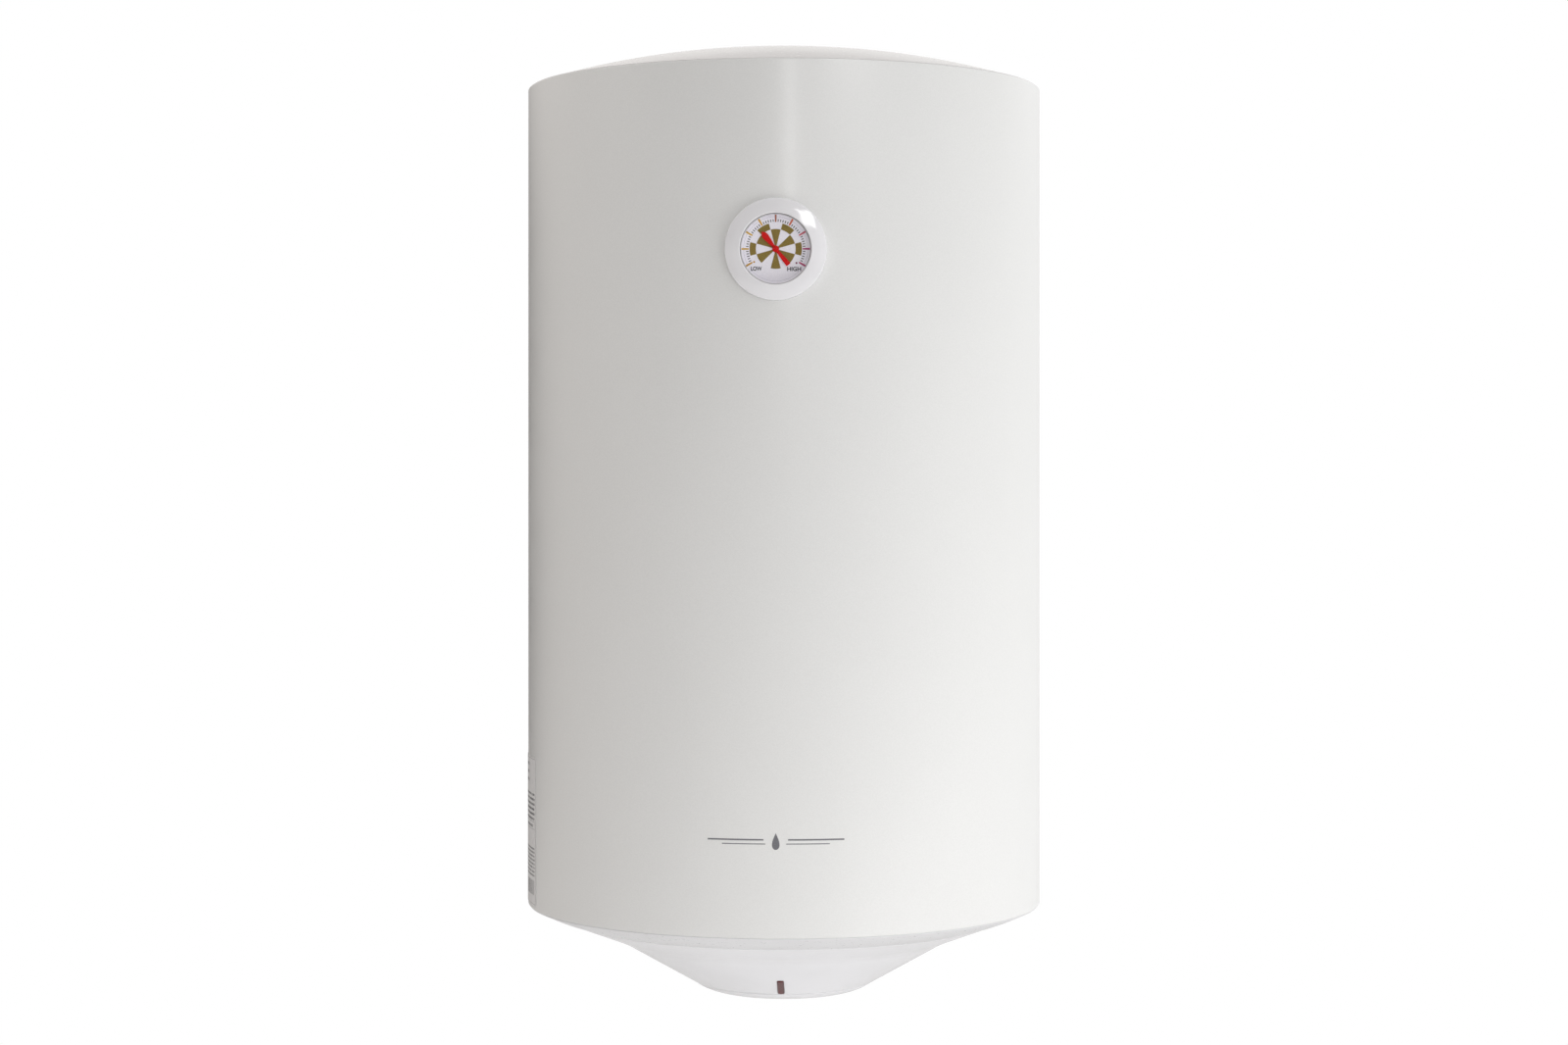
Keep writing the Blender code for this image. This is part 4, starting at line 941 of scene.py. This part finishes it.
def dial_print(z, dial_r):
    """Everything printed on the dial's card, whose face is at height z, and a painted refraction line under
    the window's step.
    """

    def printed(name, outlines, finish):
        on_gauge(name, joined([slab(o, z, z + 0.00006) for o in outlines]), finish)

    marks = [sector(0.0, 0.0161, a, 29) for a in (90, 30, -30, -90, 210, 150)]
    marks += [sector(0.0161, 0.0212, a, 30) for a in (0, 60, 120, 180)]
    printed("dial_gold", marks, ink("gold_ink", GOLD, 0.35))
    large = len(SCALE_COLOURS) - 1
    small = 6 * large
    angles = [DIAL_START - DIAL_SWEEP * i / small for i in range(small + 1) if i % 6]
    ticks = [sector(0.0220, 0.0240, angle, 1.6, 1) for angle in angles]
    printed("dial_ticks", ticks, ink("black_ink", (24, 24, 28)))
    for i, colour in enumerate(SCALE_COLOURS):
        outline = sector(0.0218, dial_r - 0.0002, DIAL_START - DIAL_SWEEP * i / large, 3.2, 1)
        printed(f"dial_mark_{i + 1}", [outline], ink(f"scale_ink_{i + 1}", colour, 0.35))
    printed("dial_dot_low", [arc(0.0008, 16, (-0.0175, -0.0105))], ink("dot_low", (195, 150, 60)))
    printed("dial_dot_high", [arc(0.0008, 16, (0.0168, -0.0114))], ink("dot_high", (120, 40, 80)))
    # Painted refraction: a thin grey line on the card just inside the window's step, standing in for the
    # line that the step's refraction shows.
    ring = band(0.0259, 0.02605, 96, 0.0, math.tau * 0.9999)
    printed("dial_painted_refraction_line", [ring], ink("painted_refraction_ink", (176, 174, 192)))
    grey_ink = ink("grey_ink", (36, 36, 42))
    for text, x, y, width in (("LOW", -0.0158, -0.0161, 0.0089), ("HIGH", 0.0149, -0.0164, 0.0112)):
        mesh = word(text, x, y, width, 0.0033, z + 0.00003)
        on_gauge(f"dial_word_{text.lower()}", mesh, grey_ink)


def thermometer(gloss, glass, card, red):
    """Bezel fitted to the jacket, window, card with its print, case and pointer."""
    low, high = corners("thermometer_dial")
    dial_r = (high.x - low.x) / 2 + 0.0007
    dial_z = GAUGE.y - low.y
    depth = GAUGE.y - BEZEL_LOW.y
    reach, neck = BEZEL_R - 0.0004, 0.0308
    bezel = [
        (WINDOW_R, 0.0012), (WINDOW_R, depth - 0.0006, 0.0004), (WINDOW_R + 0.0008, depth - 0.0001, 0.0006),
        (WINDOW_R + 0.0068, depth - 0.0020, 0.03), (reach, depth - 0.0046, 0.0014),
        (BEZEL_R, 0.0010, 0.0012), (BEZEL_R, -0.0060), (neck, -0.0060), (neck, -0.0120),
        (WINDOW_R, -0.0120),
    ]
    body = placed(lathe(filleted(bezel, 6), 200), GAUGE_PLACE)
    skin, core, tall = R + 0.0001, R - 0.03, 0.06
    saddle = lathe([(skin, -tall), (skin, tall), (core, tall), (core, -tall)], 400)
    body = cut(body, [placed(saddle, shift(AXIS.x, AXIS.y, GAUGE.z))])
    piece("gauge_bezel", shaded(body), gloss, "thermometer_bezel")

    radius, step = WINDOW_R - 0.0004, 0.0262
    dome = [
        (0.0, 0.0060), (0.0261, 0.0059, 0.0001), (step, 0.0056), (radius - 0.0004, 0.0055, 0.0003),
        (radius, 0.0050), (radius, 0.0034), (step, 0.0034), (step, 0.0042), (0.0, 0.0045),
    ]
    window = lathe(filleted(dome), 128)
    on_gauge("gauge_window", window, glass, "thermometer_lens")

    back = dial_z - 0.0006
    disc = [(0.0014, back), (dial_r, back), (dial_r, dial_z, 0.0001), (0.0014, dial_z)]
    on_gauge("dial_card", lathe(filleted(disc, 2), 96), card, "thermometer_dial")
    low, high = corners("thermometer_case")
    case_r, deep = (high.x - low.x) / 2, GAUGE.y - high.y
    wall, brim = case_r - 0.0004, 0.0031
    cup = [
        (0.0035, deep + 0.001), (wall, deep + 0.001), (wall, brim, 0.0001), (case_r, brim, 0.0001),
        (case_r, deep, 0.0006), (0.0035, deep),
    ]
    on_gauge("gauge_cup", lathe(filleted(cup, 3), 128), gloss, "thermometer_case")
    dial_print(dial_z, dial_r)
    pointer(red)


def pointer(red):
    """Spear-shaped hand with bevelled rims, on a domed hub."""
    low, tip, tail = 0.0018, 0.0177, 0.0166
    side = [
        (-tail, 0.0019), (-0.0120, 0.0019), (-0.0030, 0.0012), (0.0030, 0.0012), (0.0125, 0.0026),
        (0.0150, 0.0023), (tip, 0.0003),
    ]
    outline = side + [(x, -y) for x, y in reversed(side)]
    hand = slab(outline, low, low + 0.0006, 0.00012, 2)
    place = GAUGE_PLACE @ Matrix.Rotation(POINTER_ANGLE, 4, "Z")
    piece("gauge_hand", hand, red, "thermometer_pointer", place, body="pointer")
    hub = [
        (0.0, 0.0035), (0.0014, 0.0034, 0.0006), (0.0027, 0.0027, 0.0006), (0.0028, 0.0016), (0.0, 0.0016),
    ]
    piece("gauge_hub", lathe(filleted(hub, 4), 48), red, at=place, body="pointer")


# ---- wall brackets


def brackets(steel, bolt_steel):
    """Two bent sheets that lie on the jacket's back, each with two keyholes and two bolts."""
    out = Vector((math.sin(BRACKET_ANGLE), math.cos(BRACKET_ANGLE)))
    along = Vector((math.cos(BRACKET_ANGLE), -math.sin(BRACKET_ANGLE)))
    face = AXIS.xy + out * (R + JACKET_GAP)
    back = face + out * BRACKET_SHEET
    toe = along * BRACKET_TOE
    right = [
        (BRACKET_HALF + BRACKET_SHEET, 0.0, 0.004), (*(back + along * (0.001 - BRACKET_TOE)), 0.003),
        (*(back + toe),), (*(face + toe),), (*(face - toe), 0.005), (BRACKET_HALF, -BRACKET_SHEET, 0.0015),
    ]
    sheet = filleted(right + [(-p[0], *p[1:]) for p in reversed(right)], 5)
    meet = math.asin(KEYHOLE_SLOT / KEYHOLE_R)
    keyhole = arc(KEYHOLE_R, 40, (0, -0.006), math.pi / 2 + meet, math.tau - 2 * meet)
    keyhole += arc(KEYHOLE_SLOT, 16, (0, KEYHOLE_TOP - KEYHOLE_SLOT), 0, math.pi)
    sides = []
    for side, sign in (("left", -1), ("right", 1)):
        way = Vector((sign * out.x, out.y, 0))
        sides.append((side, sign, way, way.to_track_quat("Z", "Y").to_matrix().to_4x4()))

    for level in ("upper", "lower"):
        node, name = f"{level}_wall_bracket", f"{level}_bracket_plate"
        low, high = corners(node)
        z = (low.z + high.z) / 2
        cutters = []
        for _, sign, way, aim in sides:
            cutters.append(placed(slab(keyhole, -0.02, 0.02), shift(sign * KEYHOLE_X) @ FRONT))
            hole = Matrix.Translation(AXIS + way * (R + 0.002)) @ aim
            cutters.append(placed(slab(arc(0.0045, 32), -0.02, 0.02), hole))
        plate = shaded(cut(slab(sheet, low.z - z, high.z - z, 0.0004, 2), cutters))
        piece(name, plate, steel, node, shift(0, 0, z))
        for side, sign, way, aim in sides:
            seat = AXIS + way * (R + JACKET_GAP + BRACKET_SHEET + 0.0001) + Vector((0, 0, z))
            seat = Matrix.Translation(seat) @ aim
            hex_bolt(f"bracket_bolt_{level}_{side}", bolt_steel, seat, 0.3 * sign + z)


def hex_bolt(node, steel, place, twist):
    """Flanged hex bolt seen from its head, with a chamfered crown and a turned washer face."""
    head = slab(filleted([(*p, 0.0004) for p in arc(0.0075, 6)], 2), 0.0008, 0.0057)
    crown = [(0.0, -0.001), (0.0092, -0.001), (0.0092, 0.0040), (0.0066, 0.0057), (0.0, 0.0057)]
    head = cut(head, [lathe(crown, 96)], "INTERSECT")
    flange = [
        (0.0, 0.0), (0.0084, 0.0, 0.0003), (0.0084, 0.0009, 0.0004), (0.0066, 0.0018, 0.0004),
        (0.0, 0.0018),
    ]
    shank = [(0.0, -0.0200), (0.0034, -0.0200), (0.0040, -0.0190), (0.0040, 0.0002), (0.0, 0.0002)]
    extras = [lathe(filleted(flange), 96), lathe(shank, 48)]
    body = shaded(cut(head, extras, "UNION"), 30)
    turned = place @ Matrix.Rotation(twist, 4, "Z")
    piece(f"{node}_hex", body, steel, node, turned)


# ---- hidden pieces


def inner_finishes():
    """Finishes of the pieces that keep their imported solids."""
    table = {
        foam(): ["foam_insulation"],
        enamel(): ["tank_shell", "tank_top_head", "tank_bottom_head", "flange_neck"],
        metal("zinc_plate", (178, 180, 178), 0.38, (1, 1, 1), 90.0, spangle=260.0): [
            "upper_hanger_lug", "lower_hanger_lug", "flange_plate",
        ],
        metal("screw_zinc", (186, 188, 186), 0.3, (1, 1, 30), 200.0): [
            *(f"flange_bolt_{i}" for i in range(1, 6)), "anode_bolt",
        ],
        metal("drawn_copper", (206, 130, 92), 0.3, (1, 1, 0.1), 500.0): ["heating_element"],
        metal("stainless_tube", (190, 190, 190), 0.26, (1, 1, 0.05), 700.0): [
            "thermostat_pocket", "hot_riser_tube",
        ],
        metal("turned_brass", (200, 166, 96), 0.28, (1, 1, 40), 160.0): [
            "thermostat_sensor_rod", "thermometer_stem", "pointer_spindle", "bimetal_spiral",
            "thermostat_spindle",
        ],
        metal("cast_magnesium", (160, 160, 158), 0.6, (1, 1, 1), 120.0, depth=0.0002): ["magnesium_anode"],
        plastic("gasket_epdm", (30, 30, 32), 0.75, 800.0): ["flange_gasket"],
        plastic("thermostat_bakelite", (34, 32, 32), 0.5, 1200.0): ["thermostat_body"],
        plastic("locknut_black", (36, 36, 38), 0.5, 1400.0): ["gland_locknut"],
        gloss_white("reset_red", (186, 30, 26), 0.25): ["reset_button"],
        plastic("natural_nylon", (226, 224, 210), 0.45): ["terminal_block", "cold_inlet_diffuser"],
        plastic("lead_blue_pvc", (40, 84, 170), 0.4, 900.0): ["neutral_lead"],
        plastic("lead_brown_pvc", (92, 56, 34), 0.4, 900.0): ["live_lead", "lamp_lead"],
        clear("neon_glass", (1.0, 0.82, 0.68)): ["indicator_lamp"],
    }
    for finish, nodes in table.items():
        for node in nodes:
            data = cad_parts[node].data
            data.materials.clear()
            data.materials.append(finish)


# ---- studio


def camera():
    """At the height of the tank's middle, level, a little to the right of its front."""
    distance, turn = 11.789 * R, math.radians(1.7)
    data = bpy.data.cameras.new("camera")
    data.sensor_width = 36.0
    data.lens = 68.92
    data.shift_y = -0.0321
    data.clip_start, data.clip_end = 0.05, 60.0
    cam = linked("camera", data)
    away = Vector((math.sin(turn), -math.cos(turn), 0)) * distance
    cam.location = AXIS + away + Vector((0, 0, TOP - 1.4894 * R))
    cam.rotation_euler = (math.pi / 2, 0, turn)
    SCENE.camera = cam


def area_light(name, place, aim, size, power, glossy=False, diffuse=True):
    data = bpy.data.lights.new(name, "AREA")
    data.shape = "RECTANGLE"
    data.size, data.size_y = size
    data.energy = power
    light = linked(name, data)
    light.location = place
    light.rotation_euler = (Vector(place) - Vector(aim)).to_track_quat("Z", "Y").to_euler()
    light.visible_camera = False
    light.visible_glossy = glossy
    light.visible_diffuse = diffuse


BASE_LIGHT, SLOPE = 0.84, 0.286  # the room's brightness straight ahead, and its rise to the right
DARK_BEHIND, DARK_UPPER, DARK_LOWER = 0.72, 0.516, 0.6
BRIGHT_WALL, DARK_CEILING = 0.22, 0.40
DARKEST = 0.02
WARM, NEUTRAL = (1.0, 0.938, 0.885), (1.0, 0.999, 0.995)


def studio():
    """A pale room seen only in reflections and by its light, white to the camera, and six lamps."""
    SCENE.view_settings.view_transform = "Standard"
    SCENE.world = bpy.data.worlds.new("studio")
    n = Nodes(SCENE.world, "Generated")

    def smooth(value, low, high):
        return n.range(value, 0.0, 1.0, low, high, interpolation_type="SMOOTHSTEP")

    x, y, z = n.split()
    left, front, down = (n.times(way, -1.0) for way in (x, y, z))
    ahead = smooth(front, 0.3, 0.6)
    level = smooth(n.math("ABSOLUTE", z), 0.24, 0.08)
    wall = smooth(y, 0.3, 0.6)
    panels = (
        (DARK_BEHIND, smooth(y, 0.3, 0.95), n.times(smooth(left, 0.0, 0.2), level)),
        (DARK_UPPER, n.times(ahead, smooth(left, -0.1, 0.0)), smooth(z, 0.0, 0.12)),
        (DARK_LOWER, ahead, smooth(down, 0.0, 0.25)),
        (-BRIGHT_WALL, wall, smooth(z, 0.12, 0.22)),
        (DARK_CEILING, wall, smooth(z, 0.36, 0.40)),
    )
    light = n.math("ADD", n.times(x, SLOPE), BASE_LIGHT)
    for depth, across, along in panels:
        light = n.less(light, n.times(n.times(across, along), depth))
    behind, around = n.add("Background"), n.add("Background")
    n.put(behind, Color=(1.0, 1.0, 1.0))
    tint = n.mix(smooth(x, -0.9, 0.35), WARM, NEUTRAL)
    n.put(around, Color=tint, Strength=n.math("MAXIMUM", light, DARKEST))
    n.show_mix(n.add("LightPath").outputs["Is Camera Ray"], around, behind)

    middle, underside = (0.0, AXIS.y, 0.0), (0.0, -0.3, BOTTOM)
    area_light("under_fill", (0.1, -0.9, BOTTOM - 0.72), underside, (1.6, 0.9), 4.1)
    area_light("under_right", (1.0, -1.3, BOTTOM - 0.60), underside, (0.9, 0.9), 6.2)
    area_light("corner_fill", (-1.1, -0.5, 0.8), middle, (0.5, 0.5), 2.6)
    area_light("strip", (0.17, -2.6, 0.62), middle, (0.12, 0.7), 3.0, glossy=True)
    area_light("under_left", (-1.0, -1.0, BOTTOM - 0.60), underside, (0.9, 0.9), 0.5)
    area_light("window", (1.06, -2.04, 1.27), middle, (0.80, 0.80), 16.0, glossy=True, diffuse=False)


def floor():
    """Pale floor well below the hung heater, seen only from above."""
    bm = bmesh.new()
    bmesh.ops.create_circle(bm, cap_ends=True, radius=FLOOR_R, segments=128)
    mesh = mesh_of(bm)
    n = material("pale_floor")
    pale = n.two(n.noise(6.0, 4.0), (236, 236, 236), (241, 241, 241))
    n.put(n.shader, Base_Color=pale, Roughness=0.8, Specular_IOR_Level=0.0)
    backfacing = n.add("NewGeometry").outputs["Backfacing"]
    n.show_mix(backfacing, n.shader, n.add("BsdfTransparent"))
    mesh.materials.append(n.owner)
    obj = linked("floor", mesh)
    obj.location = (AXIS.x, AXIS.y, BOTTOM - FLOOR_DROP)


def main():
    camera()
    studio()
    floor()
    casing(
        pearl_paint(), gloss_white("gloss_white_cap", (222, 219, 218), 0.24),
        gloss_white("gloss_white_ring", (217, 217, 219), 0.3),
    )
    bottom_cover(gloss_white("gloss_white_cover", (229, 229, 232), 0.22))
    screw_steel = metal("screw_zinc_plate", (190, 191, 188), 0.3, (1, 1, 1), 240.0, spangle=900.0)
    mark = ink("scale_grey", (90, 90, 95))
    service_lid(gloss_white("gloss_white_lid", (229, 229, 232), 0.22), screw_steel, mark)
    knob(gloss_white("gloss_white_knob", (232, 232, 233), 0.26), mark)
    pipes(
        metal("nipple_steel", (196, 196, 194), 0.25, (1, 1, 40), 120.0),
        plastic("collar_blue", (30, 92, 190), 0.38, 1200.0),
        plastic("collar_red", (196, 34, 30), 0.38, 1200.0),
    )
    gland(plastic("gland_black", (38, 38, 40), 0.48, 1300.0))
    indicator(indicator_red())
    label(paper_label())
    emblem(ink("emblem_grey", (118, 118, 123), 0.4))
    thermometer(
        gloss_white("gloss_white_bezel", (236, 235, 238), 0.10), clear("gauge_glass", gloss=1.22),
        dial_face(), ink("pointer_red", (206, 8, 10), 0.5),
    )
    zinc = metal("bracket_zinc", (142, 145, 146), 0.4, (1, 1, 1), 60.0, spangle=180.0)
    brackets(zinc, screw_steel)
    inner_finishes()


main()
